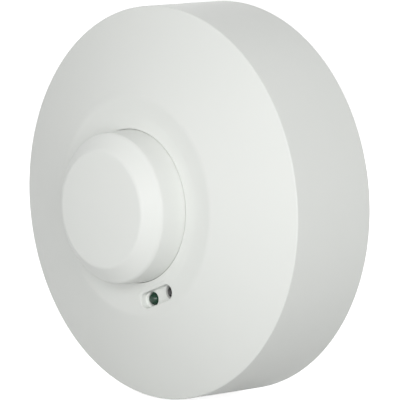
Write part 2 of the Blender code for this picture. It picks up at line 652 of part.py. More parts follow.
def power_components():
    place, size = SUPPRESSION_CAPACITOR
    add("suppression_capacitor", block(size, ON_POWER, 0.4 * MM), CAPACITOR_YELLOW, place)
    can_capacitor("smoothing_capacitor", *SMOOTHING_CAPACITOR)
    can_capacitor("reservoir_capacitor", *RESERVOIR_CAPACITOR)
    varistor()
    fuse()
    inductor()
    for name, (place, size) in (("bridge_rectifier", BRIDGE_RECTIFIER), ("power_chip", POWER_CHIP)):
        add(name, block(size, ON_POWER, 0.3 * MM), BLACK_PLASTIC, place)
    place, (length, width) = LINK_HEADER
    height = CONTROL_BOARD - GAP - ON_POWER
    add("board_link_header", block((length, width, height), ON_POWER, 0.2 * MM), BLACK_PLASTIC, place)


def can_capacitor(name, place, radius, height):
    """An electrolytic capacitor: a can with a rolled groove near its foot and a rounded top."""
    low, top = ON_POWER, ON_POWER + height
    section = [
        (0.0, top - 0.2 * MM),
        (radius * 0.75, top - 0.2 * MM),
        (radius * 0.8, top),
        (radius - 0.4 * MM, top),
        (radius, top - 0.5 * MM),
        (radius, low + 2.6 * MM),
        (radius - 0.4 * MM, low + 2.1 * MM),
        (radius, low + 1.6 * MM),
        (radius, low),
        (0.0, low),
    ]
    turned(name, section, SLEEVE_DARK, at=place, steps=20)


def varistor():
    """A coated disc on edge, standing on its two leads."""
    x, y = VARISTOR_AT
    centre = ON_POWER + VARISTOR_RADIUS + VARISTOR_LIFT
    mesh = rod(VARISTOR_RADIUS, -VARISTOR_THICKNESS / 2, VARISTOR_THICKNESS / 2, 24)
    mesh.transform(Matrix.Translation((0, 0, centre)) @ Matrix.Rotation(math.radians(90), 4, "X"))
    disc = add("varistor", mesh, VARISTOR_BLUE, (x, y, 0))
    for side in (-LEAD_OFFSET, LEAD_OFFSET):
        join(disc, block((LEAD, LEAD, VARISTOR_LIFT + LEAD_OFFSET), ON_POWER), (x + side, y, 0))


def fuse():
    x, y = FUSE_AT
    low, top = ON_POWER + FUSE_LIFT, ON_POWER + FUSE_HEIGHT
    section = [(0.0, top), (FUSE_RADIUS - 0.5 * MM, top), (FUSE_RADIUS, top - 0.5 * MM), (FUSE_RADIUS, low),
               (0.0, low)]
    can = turned("fuse", section, FUSE_BROWN, at=(x, y, 0), steps=24)
    for side in (-LEAD_OFFSET, LEAD_OFFSET):
        join(can, block((LEAD, LEAD, FUSE_LIFT + PAST), ON_POWER), (x + side, y, 0))


def inductor():
    """A drum core with its winding."""
    low, top = ON_POWER, ON_POWER + INDUCTOR_HEIGHT
    winding, flange = INDUCTOR_RADII
    section = [
        (0.0, top),
        (flange, top),
        (flange, top - INDUCTOR_FLANGE),
        (winding, top - INDUCTOR_FLANGE),
        (winding, low + INDUCTOR_FLANGE),
        (flange, low + INDUCTOR_FLANGE),
        (flange, low),
        (0.0, low),
    ]
    turned("inductor", section, COPPER, at=INDUCTOR_AT, steps=20)


# ---------------------------------------------------------------- control board
def control_board():
    disc = rod(CONTROL_BOARD_RADIUS, CONTROL_BOARD, CONTROL_BOARD + BOARD, 48)
    board = add("control_board", disc, BOARD_GREEN)
    size = 3 * CONTROL_BOARD_RADIUS
    keep(board, block((size, size, 3 * BOARD), CONTROL_BOARD - BOARD), (0, CONTROL_BOARD_TOP - size / 2, 0))
    tongue = plate(round_ended(POCKET_HALF_SPAN, CONTROL_TONGUE_WIDTH), CONTROL_BOARD, CONTROL_BOARD + BOARD)
    join(board, tongue, window_point(POCKET_SHIFT), WINDOW_TURN)
    low, high = CONTROL_BOARD - PAST, CONTROL_BOARD + BOARD + PAST
    for angle in COVER_SCREW_ANGLES:
        cut(board, rod(PILLAR_BORE + GAP, low, high), polar(COVER_SCREW_DISTANCE, angle))
    for x, y in CONTROL_SCREWS:
        cut(board, rod(PILLAR_BORE, low, high), (x, y, 0))


def trimmers_and_dials():
    trimmer_top = ON_CONTROL + TRIMMER_HEIGHT
    dial_low = trimmer_top + GAP
    slot_width, slot_length, slot_depth = DIAL_SLOT
    for name, angle in DIALS:
        place = polar(DIAL_DISTANCE, angle)
        turn = math.radians(angle - 90)
        add(f"{name}_trimmer", block((TRIMMER_SIDE, TRIMMER_SIDE, TRIMMER_HEIGHT), ON_CONTROL, 0.3 * MM),
            BLACK_PLASTIC, place, turn)
        section = [
            (0.0, DIAL_TOP),
            (DIAL_RADIUS - 0.4 * MM, DIAL_TOP),
            (DIAL_RADIUS, DIAL_TOP - 0.4 * MM),
            (DIAL_RADIUS, dial_low),
            (0.0, dial_low),
        ]
        dial = turned(f"{name}_dial", section, DIAL_CREAM, at=place, steps=20)
        cut(dial, block((slot_width, slot_length, slot_depth + PAST), DIAL_TOP - slot_depth), place, turn)


def domed_package(name, spacer_name, offset, proud, finish):
    """A round flanged package with a domed end, and the spacer that holds it off the control board."""
    place = window_point(offset)
    crown = POCKET_FLOOR + proud
    low = crown - PACKAGE_HEIGHT
    flange_radius, flange_height = PACKAGE_FLANGE
    dome = arc((0.0, crown - PACKAGE_RADIUS), PACKAGE_RADIUS, 90, 0, 3)[1:]
    section = [
        (0.0, crown),
        *dome,
        (PACKAGE_RADIUS, low + flange_height),
        (flange_radius, low + flange_height),
        (flange_radius, low),
        (0.0, low),
    ]
    turned(name, section, finish, at=place, steps=20)
    add(spacer_name, rod(SPACER_RADIUS, ON_CONTROL, low - GAP), BLACK_PLASTIC, place)


def lamp_and_light_cell():
    domed_package("indicator_lamp", "lamp_spacer", -WINDOW_OFFSET, LAMP_PROUD, LAMP_GREEN)
    domed_package("light_cell", "cell_spacer", WINDOW_OFFSET, CELL_PROUD, CELL_DARK)


def antenna_module():
    radius, low, thickness = ANTENNA_BOARD
    for name, side in (("antenna_post_left", -1), ("antenna_post_right", 1)):
        post = block((*ANTENNA_POST, low - GAP - ON_CONTROL), ON_CONTROL, 0.2 * MM)
        add(name, post, BLACK_PLASTIC, (side * ANTENNA_POST_OFFSET, 0, 0))
    add("microcontroller", block(MICROCONTROLLER, ON_CONTROL, 0.2 * MM), BLACK_PLASTIC)
    add("oscillator_can", block(OSCILLATOR_CAN, low - GAP - OSCILLATOR_CAN[2], 0.2 * MM), STEEL)
    add("antenna_board", rod(radius, low, low + thickness, 32), BOARD_GREEN)
    side, height, sheet = ANTENNA_PLATE
    patch = add("antenna_plate", block((side, side, sheet), height), BRASS)
    leg_low = low + thickness + GAP
    leg_size = (ANTENNA_LEG, ANTENNA_LEG, height + sheet / 2 - leg_low)
    leg_offset = side / 2 - 0.6 * MM
    for x in (-leg_offset, leg_offset):
        for y in (-leg_offset, leg_offset):
            join(patch, block(leg_size, leg_low), (x, y, 0))


def finish_pieces():
    """Applies each piece's modifiers and shades its round faces smooth."""
    graph = bpy.context.evaluated_depsgraph_get()
    solids = [obj for obj in PARTS.objects if obj.type == "MESH"]
    made = {obj.name: bpy.data.meshes.new_from_object(obj.evaluated_get(graph)) for obj in solids}
    for obj in solids:
        obj.modifiers.clear()
        obj.data = made[obj.name]
        obj.data.name = obj.name
        obj.data.shade_smooth()
        obj.data.set_sharp_from_angle(angle=math.radians(30))


front_housing()
radome_cap()
base_plate()
cable_grommet()
all_screws()
power_board()
terminal_block()
relay()
power_components()
control_board()
trimmers_and_dials()
lamp_and_light_cell()
antenna_module()
finish_pieces()
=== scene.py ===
"""Looks of the round microwave motion sensor: a studio, the finishes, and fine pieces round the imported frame.

Pieces are drawn in the sensor's own frame, where the wall is z = 0, +Z points out of the wall along the
sensor's axis and +Y points up the wall.  Lengths there are in millimetres and angles in degrees.  ROW turns
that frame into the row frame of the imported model, which is in metres.
"""

import json
import math

import bmesh
import bpy
from mathutils import Matrix, Vector


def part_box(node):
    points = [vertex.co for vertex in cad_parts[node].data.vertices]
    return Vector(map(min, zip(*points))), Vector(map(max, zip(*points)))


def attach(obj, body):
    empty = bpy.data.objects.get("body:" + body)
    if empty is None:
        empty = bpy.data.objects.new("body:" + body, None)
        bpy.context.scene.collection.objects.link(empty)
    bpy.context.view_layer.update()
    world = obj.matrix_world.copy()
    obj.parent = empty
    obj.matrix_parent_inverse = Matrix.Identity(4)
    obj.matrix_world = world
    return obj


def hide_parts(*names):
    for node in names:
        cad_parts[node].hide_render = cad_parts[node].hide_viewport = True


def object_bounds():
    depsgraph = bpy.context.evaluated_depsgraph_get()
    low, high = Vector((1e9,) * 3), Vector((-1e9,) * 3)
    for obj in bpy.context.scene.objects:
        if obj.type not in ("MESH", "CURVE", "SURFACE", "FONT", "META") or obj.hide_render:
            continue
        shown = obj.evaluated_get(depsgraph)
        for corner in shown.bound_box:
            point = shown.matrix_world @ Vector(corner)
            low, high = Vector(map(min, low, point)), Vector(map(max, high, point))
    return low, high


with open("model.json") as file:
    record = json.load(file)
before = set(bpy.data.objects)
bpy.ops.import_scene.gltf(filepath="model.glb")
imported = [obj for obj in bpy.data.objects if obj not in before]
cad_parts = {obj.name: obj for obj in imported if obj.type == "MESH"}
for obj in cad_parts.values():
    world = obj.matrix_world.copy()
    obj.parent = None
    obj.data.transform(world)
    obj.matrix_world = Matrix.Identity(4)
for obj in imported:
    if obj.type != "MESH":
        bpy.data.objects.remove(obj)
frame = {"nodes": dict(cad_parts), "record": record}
CAD_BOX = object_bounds()

MM = 0.001
ROW = Matrix.Rotation(math.radians(90), 4, "X") @ Matrix.Scale(MM, 4)


def span(node):
    """The lowest and highest corner of a node's box."""
    low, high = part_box(node)
    return Vector((low.x, low.z, -high.y)) / MM, Vector((high.x, high.z, -low.y)) / MM


def foot(node):
    """The middle of a node's foot, the node's size, and the height of its top."""
    low, high = span(node)
    return Vector(((low.x + high.x) / 2, (low.y + high.y) / 2, low.z)), high - low, high.z


# ---- sizes, from the frame where it has them
HOUSING_LOW, HOUSING_HIGH = span("front_housing")
CAP_LOW, CAP_HIGH = span("radome_cap")
POWER_LOW, POWER_HIGH = span("power_board")
CONTROL_LOW, CONTROL_HIGH = span("control_board")
LAMP_AT = foot("indicator_lamp")[0]
CELL_AT = foot("light_cell")[0]
CABLE_ENTRY = foot("cable_grommet")[0]

REAR_RADIUS = (HOUSING_HIGH.x - HOUSING_LOW.x) / 2
WELL_HEIGHT = HOUSING_HIGH.z
CAP_RADIUS = (CAP_HIGH.x - CAP_LOW.x) / 2
CAP_CROWN = CAP_HIGH.z
CAP_BOTTOM = CAP_LOW.z

RIM_RADIUS = REAR_RADIUS - 0.35
RIM_HEIGHT = 24.9
SHELF_RADIUS = 27.5
SHELF_HEIGHT = 32.9
CONE_BULGE = 0.38
SEAM = 0.09                         # the fine gap between the cover and the cap
WELL_RADIUS = CAP_RADIUS + 0.15 + SEAM / 2
WELL_FLOOR = CAP_BOTTOM - 0.3
WELL_UNDERSIDE = WELL_FLOOR - 1.8
WELL_WALL = 1.6
COVER_WALL = 2.2
COVER_FRONT = 2.0
ANTENNA_OPENING = 9.0

WINDOW_TURN = math.degrees(math.atan2(CELL_AT.y - LAMP_AT.y, CELL_AT.x - LAMP_AT.x))
WINDOW_OFFSET = math.dist(LAMP_AT.xy, CELL_AT.xy) / 2
POCKET_SHIFT = -0.3                 # from the middle between the lamp and the cell, towards the lamp
POCKET_HALF_WIDTH = 1.85
POCKET_HALF_SPAN = 3.95
POCKET_FLOOR = 31.2
POCKET_FLOOR_THICKNESS = 1.4
POCKET_WALL = 1.2
WINDOW_HOLE = 1.78

COVER_SCREW_DISTANCE = 14.2
COVER_SCREW_ANGLES = (30, 150, 270)
CONTROL_SCREWS = [f"control_board_screw_{number}" for number in (1, 2, 3)]
POWER_SCREWS = [f"power_board_screw_{number}" for number in (1, 2, 3)]
PILLAR_RADIUS = 3.2
PILLAR_BORE = 1.75
PILLAR_CLEARANCE = 0.6
DIALS = (("sensitivity", 90), ("time", 210), ("light_level", 330))
DIAL_DISTANCE = 12.5
DIAL_HOLE = 3.1

BASE_THICKNESS = 2.6
BASE_RIM = (44.6, 46.2, 7.0)        # inner radius, outer radius, height
KEYHOLE_HEAD = (27.0, 22.0, 4.3)    # across, up, radius
KEYHOLE_SLOT = (28.5, 2.3)          # height of its end, radius
BOTTOM_SLOT = (-39.0, 4.0, 2.2)     # up, half span, radius
CABLE_HOLE = 7.0
CABLE_COUNTERBORE = (9.0, 1.4)      # radius, depth
CABLE_CHANNEL = (9.0, 20.0, 1.2)    # width, length, depth

FINE_STEPS = 256                    # facets round the large turned pieces
SMALL_STEPS = 48                    # facets round the small turned pieces
FACET_SHIFT = 0.37                  # of a facet, so that no corner of a turned piece is on a line of symmetry


# ---- outlines
def polar(distance, angle):
    turned = math.radians(angle)
    return Vector((distance * math.cos(turned), distance * math.sin(turned), 0.0))


def cover_screw_places():
    return [polar(COVER_SCREW_DISTANCE, angle) for angle in COVER_SCREW_ANGLES]


def feet(nodes):
    return [foot(node)[0] for node in nodes]


def spun(angle, across, along):
    return Matrix.Rotation(math.radians(angle), 4, "Z") @ Vector((across, along, 0.0))


def window_point(offset):
    """A point on the window's long line, on which the lamp is at a negative offset."""
    return (LAMP_AT + CELL_AT) / 2 + polar(offset, WINDOW_TURN)


def rounded(points, closed=False, steps=5):
    """A half section of (radius, height) or (radius, height, fillet) corners, with the fillets drawn in."""
    drawn = []
    count = len(points)
    for i, point in enumerate(points):
        corner = Vector(point[:2])
        fillet = point[2] if len(point) > 2 else 0.0
        if not fillet or (not closed and i in (0, count - 1)):
            drawn.append(tuple(corner))
            continue
        before = (Vector(points[i - 1][:2]) - corner).normalized()
        after = (Vector(points[(i + 1) % count][:2]) - corner).normalized()
        half = before.angle(after) / 2
        reach = fillet / math.tan(half)
        centre = corner + (before + after).normalized() * (fillet / math.sin(half))
        start = corner + before * reach - centre
        end = corner + after * reach - centre
        for k in range(steps + 1):
            drawn.append(tuple(centre + start.slerp(end, k / steps) * fillet))
    return drawn


def arc(radius, start, end, steps, centre=0.0):
    """Points of an arc between two angles, round a centre on X."""
    angles = [math.radians(start + (end - start) * i / steps) for i in range(steps + 1)]
    return [(centre + radius * math.cos(a), radius * math.sin(a)) for a in angles]


def circle(radius, steps=SMALL_STEPS):
    return arc(radius, 0, 360, steps)[:-1]


def slot_ring(half_span, half_width):
    """Points of a round-ended outline along X."""
    return arc(half_width, -90, 90, 24, half_span) + arc(half_width, 90, 270, 24, -half_span)


def sector(inner, outer, start, end, steps=16):
    """The outline of a piece of a ring between two angles."""
    return arc(outer, start, end, steps) + arc(inner, end, start, steps)


def rectangle(width, depth):
    x, y = width / 2, depth / 2
    return [(-x, -y), (x, -y), (x, y), (-x, y)]


# ---- bodies
def filled(fill):
    """A mesh from a function that fills an empty bmesh."""
    return with_more(bpy.data.meshes.new("shape"), fill)


def with_more(mesh, fill):
    """The mesh with further closed bodies in it."""
    bm = bmesh.new()
    bm.from_mesh(mesh)
    fill(bm)
    bmesh.ops.recalc_face_normals(bm, faces=bm.faces[:])
    bm.to_mesh(mesh)
    bm.free()
    return mesh


def put(bm, solid, matrix):
    """Adds a finished bmesh to another one, and frees it."""
    solid.transform(matrix)
    mesh = bpy.data.meshes.new("shape")
    solid.to_mesh(mesh)
    solid.free()
    bm.from_mesh(mesh)
    bpy.data.meshes.remove(mesh)


def turn(bm, section, place=(0, 0), closed=False, steps=SMALL_STEPS, lie=Matrix.Identity(4)):
    """Sweeps a half section, which runs down its outer side, round an upright axis or one laid by `lie`."""
    solid = bmesh.new()
    rings = []
    for radius, height in section:
        if radius < 1e-6:
            rings.append([solid.verts.new((0, 0, height))])
            continue
        angles = [2 * math.pi * (i + FACET_SHIFT) / steps for i in range(steps)]
        rings.append([solid.verts.new((radius * math.cos(a), radius * math.sin(a), height)) for a in angles])
    pairs = list(zip(rings, rings[1:]))
    if closed:
        pairs.append((rings[-1], rings[0]))
    for upper, lower in pairs:
        for i in range(steps):
            j = (i + 1) % steps
            corners = ((upper, i), (lower, i), (lower, j), (upper, j))
            loop = [points[k % len(points)] for points, k in corners]
            solid.faces.new([v for k, v in enumerate(loop) if v not in loop[:k]])
    put(bm, solid, Matrix.Translation((place[0], place[1], 0)) @ lie)


def turned_mesh(section, closed=False, steps=FINE_STEPS):
    return filled(lambda bm: turn(bm, section, closed=closed, steps=steps))


def lofted(bm, rings, place=(0, 0), angle=0.0):
    """A closed body through rings of (x, y) points, each at its own height."""
    matrix = Matrix.Translation((place[0], place[1], 0)) @ Matrix.Rotation(math.radians(angle), 4, "Z")
    made = [[bm.verts.new(matrix @ Vector((x, y, height))) for x, y in ring] for ring, height in rings]
    count = len(made[0])
    for lower, upper in zip(made, made[1:]):
        for i in range(count):
            j = (i + 1) % count
            bm.faces.new((lower[i], lower[j], upper[j], upper[i]))
    bm.faces.new(list(reversed(made[0])))
    bm.faces.new(made[-1])


def prism(bm, outline, low, high, place=(0, 0), angle=0.0):
    lofted(bm, [(outline, low), (outline, high)], place, angle)


def rod(bm, place, radius, low, high, steps=SMALL_STEPS):
    prism(bm, circle(radius, steps), low, high, place)


def box(bm, place, size, low, angle=0.0):
    prism(bm, rectangle(size[0], size[1]), low, low + size[2], place, angle)


def soft_box(bm, place, size, radius, angle=0.0, taper=0.0, segments=2):
    """A box with rounded edges that stands on a point, its top drawn in by `taper` on every side."""
    solid = bmesh.new()
    bmesh.ops.create_cube(solid, size=1, matrix=Matrix.Translation((0, 0, 0.5)))
    for vertex in solid.verts:
        drawn_in = 2 * taper if vertex.co.z > 0.5 else 0.0
        across, along, up = vertex.co
        vertex.co = (across * (size[0] - drawn_in), along * (size[1] - drawn_in), up * size[2])
    bmesh.ops.bevel(solid, geom=solid.edges[:], offset=radius, segments=segments, profile=0.5, affect="EDGES")
    put(bm, solid, Matrix.Translation(place) @ Matrix.Rotation(math.radians(angle), 4, "Z"))


def two_boxes(bm, place, shift, size, low):
    """A box on each side of a place."""
    for side in (-1, 1):
        box(bm, (place[0] + side * shift[0], place[1] + side * shift[1]), size, low)


def ring(bm, inner, outer, low, high, place=(0, 0), steps=SMALL_STEPS):
    turn(bm, [(inner, high), (outer, high), (outer, low), (inner, low)], place, closed=True, steps=steps)


def helix(bm, place, core, crest, pitch, low, high, steps=20):
    """A screw thread: a three-sided ridge wound round the axis, closed at both ends."""
    rings = []
    for k in range(int((high - low) / pitch * steps) + 1):
        angle = 360 * k / steps
        height = low + pitch * k / steps
        ridge = ((core, -0.3 * pitch), (crest, 0), (core, 0.3 * pitch))
        rings.append([bm.verts.new(Vector((place[0], place[1], height + up)) + polar(radius, angle))
                      for radius, up in ridge])
    for first, second in zip(rings, rings[1:]):
        for i in range(3):
            j = (i + 1) % 3
            bm.faces.new((first[j], first[i], second[i], second[j]))
    bm.faces.new(rings[0])
    bm.faces.new(list(reversed(rings[-1])))


def carved(mesh, steps, overlapping=False):
    """The mesh after a list of (operation, tool mesh) Booleans, whose tools may have overlapping bodies."""
    collection = bpy.context.scene.collection
    body = bpy.data.objects.new("body", mesh)
    collection.objects.link(body)
    tools = []
    for operation, tool in steps:
        other = bpy.data.objects.new("tool", tool)
        collection.objects.link(other)
        tools.append(other)
        change = body.modifiers.new(operation, "BOOLEAN")
        change.operation = operation
        change.solver = "EXACT"
        change.use_self = overlapping
        change.object = other
    graph = bpy.context.evaluated_depsgraph_get()
    made = bpy.data.meshes.new_from_object(body.evaluated_get(graph))
    for obj in [body, *tools]:
        bpy.data.objects.remove(obj)
    return made


def cut_from(fill, *cutters):
    return carved(filled(fill), [("DIFFERENCE", filled(cutter)) for cutter in cutters], overlapping=True)


def merged(fill):
    """A mesh from a fill function, with its overlapping bodies joined."""
    return cut_from(fill, lambda bm: box(bm, (0, 0), (1, 1, 1), -1))


def piece(name, shape, slot, replaces=(), body="base", sharp=35, weighted=False, finish=None):
    """A finished piece: drawn in the sensor's frame, put in the row frame, and riding on a body."""
    mesh = shape if isinstance(shape, bpy.types.Mesh) else filled(shape)
    mesh.transform(ROW)
    mesh.name = name
    mesh.materials.clear()
    mesh.materials.append(finish or FINISHES[slot])
    mesh.shade_smooth()
    mesh.set_sharp_from_angle(angle=math.radians(sharp))
    obj = bpy.data.objects.new(name, mesh)
    bpy.context.scene.collection.objects.link(obj)
    if weighted:
        change = obj.modifiers.new("Even shading", "WEIGHTED_NORMAL")
        change.keep_sharp = True
    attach(obj, body)
    if replaces:
        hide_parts(*replaces)


def turned_piece(name, section, place, slot, replaces=(), closed=False, sharp=35):
    piece(name, lambda bm: turn(bm, section, place, closed), slot, replaces, sharp=sharp)


def cut_box(name, node, slot, radius, *cutters, **edges):
    """A piece that stands for a node: a box with rounded edges, and what is cut out of it."""
    place, size, _ = foot(node)
    piece(name, cut_from(lambda bm: soft_box(bm, place, size, radius, **edges), *cutters), slot, [node])


# ---- materials
class Paint:
    """A Principled material and the few nodes that its colour, gloss and bump take."""

    def __init__(self, name, roughness, metallic=0.0, specular=0.5, coat=0.0):
        self.material = bpy.data.materials.new(name)
        self.material.use_nodes = True
        self.nodes = self.material.node_tree.nodes
        self.links = self.material.node_tree.links
        self.shader = self.nodes["Principled BSDF"]
        for socket, value in (("Roughness", roughness), ("Metallic", metallic),
                              ("Specular IOR Level", specular), ("Coat Weight", coat)):
            self.shader.inputs[socket].default_value = value
        self.place = self.nodes.new("ShaderNodeTexCoord").outputs["Object"]
        self.last_bump = None

    def node(self, kind, values, **sources):
        """A new node with its plain values and its links."""
        node = self.nodes.new(f"ShaderNode{kind}")
        for socket, value in values.items():
            node.inputs[socket].default_value = value
        for socket, source in sources.items():
            self.links.new(source, node.inputs[socket])
        return node

    def noise(self, size, detail=3.0, rough=0.5):
        """Noise whose features are about `size` across."""
        values = {"Scale": 1 / (size * MM), "Detail": detail, "Roughness": rough}
        return self.node("TexNoise", values, Vector=self.place).outputs["Fac"]

    def bands(self, size, direction):
        """Even bands `size` apart along X, Y or Z."""
        node = self.node("TexWave", {"Scale": math.pi / (10 * size * MM)}, Vector=self.place)
        node.bands_direction = direction
        return node.outputs["Fac"]

    def spread(self, source, low=0.0, high=1.0, first=0.3, last=0.7):
        """Stretches a value between `first` and `last` over a range."""
        values = {"From Min": first, "From Max": last, "To Min": low, "To Max": high}
        return self.node("MapRange", values, Value=source).outputs["Result"]

    def blend(self, factor, first, second):
        """A colour between two, each a plain colour or another node's output."""
        node = self.nodes.new("ShaderNodeMix")
        node.data_type = "RGBA"
        self.links.new(factor, node.inputs["Factor"])
        for socket, value in zip((node.inputs[6], node.inputs[7]), (first, second)):
            if isinstance(value, tuple):
                socket.default_value = (*value, 1.0)
            else:
                self.links.new(value, socket)
        return node.outputs[2]

    def tint(self, factor, first, second):
        self.links.new(self.blend(factor, first, second), self.shader.inputs["Base Color"])

    def gloss(self, source, low, high):
        self.links.new(self.spread(source, low, high), self.shader.inputs["Roughness"])

    def bump(self, height, distance):
        node = self.node("Bump", {"Distance": distance * MM, "Strength": 1.0}, Height=height)
        if self.last_bump:
            self.links.new(self.last_bump, node.inputs["Normal"])
        self.last_bump = node.outputs["Normal"]
        self.links.new(self.last_bump, self.shader.inputs["Normal"])


def shaded(colour, factor):
    return tuple(min(1.0, factor * channel) for channel in colour)


def white_plastic(name, shade):
    """Satin ABS with a fine spark-eroded skin and a slight cloudiness."""
    paint = Paint(name, 0.5, specular=0.3)
    dull, clear = (0.977 * shade, shade, 0.965 * shade), (0.985 * shade, 1.005 * shade, 0.97 * shade)
    paint.tint(paint.spread(paint.noise(22, 2.0)), dull, clear)
    paint.gloss(paint.noise(3, 4.0), 0.46, 0.54)
    paint.bump(paint.noise(0.16, 2.0), 0.006)
    paint.bump(paint.noise(5, 1.0), 0.01)
    return paint.material


def moulded(name, colour, roughness, dust=0.04, coat=0.0):
    """Moulded plastic: cloudy colour, a fine grain, and a little pale dust in patches."""
    paint = Paint(name, roughness, coat=coat)
    cloud = paint.spread(paint.noise(2.5))
    skin = paint.blend(cloud, shaded(colour, 0.82), shaded(colour, 1.06))
    patches = paint.spread(paint.noise(1.2, 5.0, 0.7), 0.0, dust, 0.5, 0.72)
    paint.tint(patches, skin, (0.6, 0.6, 0.58))
    paint.gloss(paint.noise(0.9, 4.0), 0.85 * roughness, 1.2 * roughness)
    paint.bump(paint.noise(0.15, 2.0), 0.006)
    return paint.material


def metal(name, colour, roughness, tarnish=0.35):
    """Plated or rolled metal: a fine grain, uneven gloss and faint tarnish."""
    paint = Paint(name, roughness, metallic=1.0)
    patches = paint.spread(paint.noise(1.8, 5.0, 0.65), 0.0, tarnish, 0.42, 0.75)
    paint.tint(patches, colour, shaded(colour, 0.55))
    grain = paint.noise(0.12)
    paint.gloss(grain, 0.75 * roughness, 1.4 * roughness)
    paint.bump(grain, 0.004)
    paint.bump(paint.noise(0.9), 0.01)
    return paint.material


def solder_mask():
    """Green lacquer over a woven glass laminate, slightly uneven in colour and gloss."""
    paint = Paint("green board", 0.32, coat=0.35)
    pours = paint.spread(paint.noise(9.0, 1.0, 0.3), first=0.4, last=0.6)
    lacquer = paint.blend(pours, (0.016, 0.108, 0.042), (0.020, 0.128, 0.050))
    cloud = paint.spread(paint.noise(0.8, 4.0), 0.0, 0.3)
    paint.tint(cloud, lacquer, (0.026, 0.155, 0.066))
    paint.gloss(paint.noise(1.5, 4.0), 0.26, 0.42)
    paint.bump(paint.bands(0.45, "X"), 0.006)
    paint.bump(paint.bands(0.45, "Z"), 0.006)
    return paint.material


def dipped(name, colour, roughness):
    """A dipped lacquer coat, thick and slightly lumpy."""
    paint = Paint(name, roughness, coat=0.3)
    paint.tint(paint.spread(paint.noise(1.6)), shaded(colour, 0.8), shaded(colour, 1.1))
    paint.gloss(paint.noise(0.7), 0.8 * roughness, 1.25 * roughness)
    paint.bump(paint.noise(1.1, 2.0), 0.09)
    paint.bump(paint.noise(0.2, 2.0), 0.01)
    return paint.material


def rubber():
    """Matt black rubber with a bloom and fine mould grain."""
    paint = Paint("black rubber", 0.75, specular=0.35)
    bloom = paint.spread(paint.noise(2.2, 5.0, 0.6), 0.0, 0.5)
    paint.tint(bloom, (0.014, 0.014, 0.015), (0.04, 0.04, 0.042))
    paint.gloss(paint.noise(0.6), 0.65, 0.85)
    paint.bump(paint.noise(0.14, 3.0), 0.015)
    return paint.material


def lamp_resin():
    """Clear green lamp resin, slightly milky."""
    paint = Paint("lamp green", 0.06, specular=0.35)
    paint.shader.inputs["Transmission Weight"].default_value = 0.3
    paint.shader.inputs["IOR"].default_value = 1.52
    paint.tint(paint.spread(paint.noise(0.6)), (0.010, 0.052, 0.028), (0.014, 0.070, 0.038))
    return paint.material


def cell_resin():
    """The light cell's black tinted resin."""
    paint = Paint("light cell", 0.12, specular=0.5)
    paint.tint(paint.spread(paint.noise(0.5)), (0.010, 0.010, 0.011), (0.022, 0.021, 0.022))
    paint.bump(paint.noise(0.6), 0.004)
    return paint.material


FINISHES = {
    "white_abs": white_plastic("white ABS", 0.795),
    "black_rubber": rubber(),
    "green_board": solder_mask(),
    "zinc_plated_steel": metal("zinc plated steel", (0.66, 0.66, 0.64), 0.28),
    "nickel_brass": metal("nickel brass", (0.72, 0.62, 0.40), 0.26),
    "enamelled_copper": metal("enamelled copper", (0.56, 0.20, 0.07), 0.3, tarnish=0.2),
    "grey_polyamide": moulded("grey polyamide", (0.30, 0.33, 0.35), 0.5, dust=0.08),
    "black_plastic": moulded("black plastic", (0.022, 0.022, 0.024), 0.42, dust=0.03),
    "relay_blue": moulded("relay blue", (0.035, 0.13, 0.36), 0.38, coat=0.2),
    "capacitor_yellow": moulded("capacitor yellow", (0.72, 0.47, 0.07), 0.4, coat=0.2),
    "capacitor_sleeve": moulded("capacitor sleeve", (0.018, 0.022, 0.05), 0.28, coat=0.4),
    "varistor_blue": dipped("varistor blue", (0.05, 0.17, 0.42), 0.4),
    "fuse_brown": dipped("fuse brown", (0.13, 0.05, 0.022), 0.35),
    "dial_cream": moulded("dial cream", (0.72, 0.66, 0.50), 0.45, dust=0.0),
    "lamp_green": lamp_resin(),
    "light_cell": cell_resin(),
}
# The cap's copy of the white ABS is painted lighter than the cover's (0.81 against 0.795): painted light that
# brightens the cap.
CAP_WHITE_PAINTED_LIGHTER = white_plastic("cap ABS", 0.81)
TRACK_GREEN = moulded("lacquered copper", (0.035, 0.21, 0.075), 0.3, dust=0.0, coat=0.35)


# ---- cover and cap
def cone_height(radius):
    share = (RIM_RADIUS - radius) / (RIM_RADIUS - SHELF_RADIUS)
    return RIM_HEIGHT + (SHELF_HEIGHT - RIM_HEIGHT) * share + 4 * CONE_BULGE * share * (1 - share)


def housing_section():
    cone = [SHELF_RADIUS + (RIM_RADIUS - SHELF_RADIUS) * i / 16 for i in range(2, 16)]
    inner_rim = RIM_RADIUS - COVER_WALL
    inner_cone = [inner_rim - (inner_rim - SHELF_RADIUS) * i / 6 for i in range(1, 7)]
    return rounded([
        (ANTENNA_OPENING, WELL_FLOOR, 0.2), (WELL_RADIUS, WELL_FLOOR, 0.4), (WELL_RADIUS, WELL_HEIGHT, 0.22),
        (WELL_RADIUS + 1.6, WELL_HEIGHT - 0.15, 4), (WELL_RADIUS + 3.4, SHELF_HEIGHT + 0.1, 6),
        (SHELF_RADIUS, SHELF_HEIGHT, 6), *[(radius, cone_height(radius)) for radius in cone],
        (RIM_RADIUS, RIM_HEIGHT, 0.45), (REAR_RADIUS, HOUSING_LOW.z, 0.2),
        (REAR_RADIUS - COVER_WALL, HOUSING_LOW.z, 0.3), (inner_rim, RIM_HEIGHT - 1.9, 0.8),
        *[(radius, cone_height(radius) - COVER_FRONT) for radius in inner_cone],
        (WELL_RADIUS + WELL_WALL, SHELF_HEIGHT - COVER_FRONT, 0.5),
        (WELL_RADIUS + WELL_WALL, WELL_UNDERSIDE, 0.4), (ANTENNA_OPENING, WELL_UNDERSIDE, 0.2),
    ], closed=True)


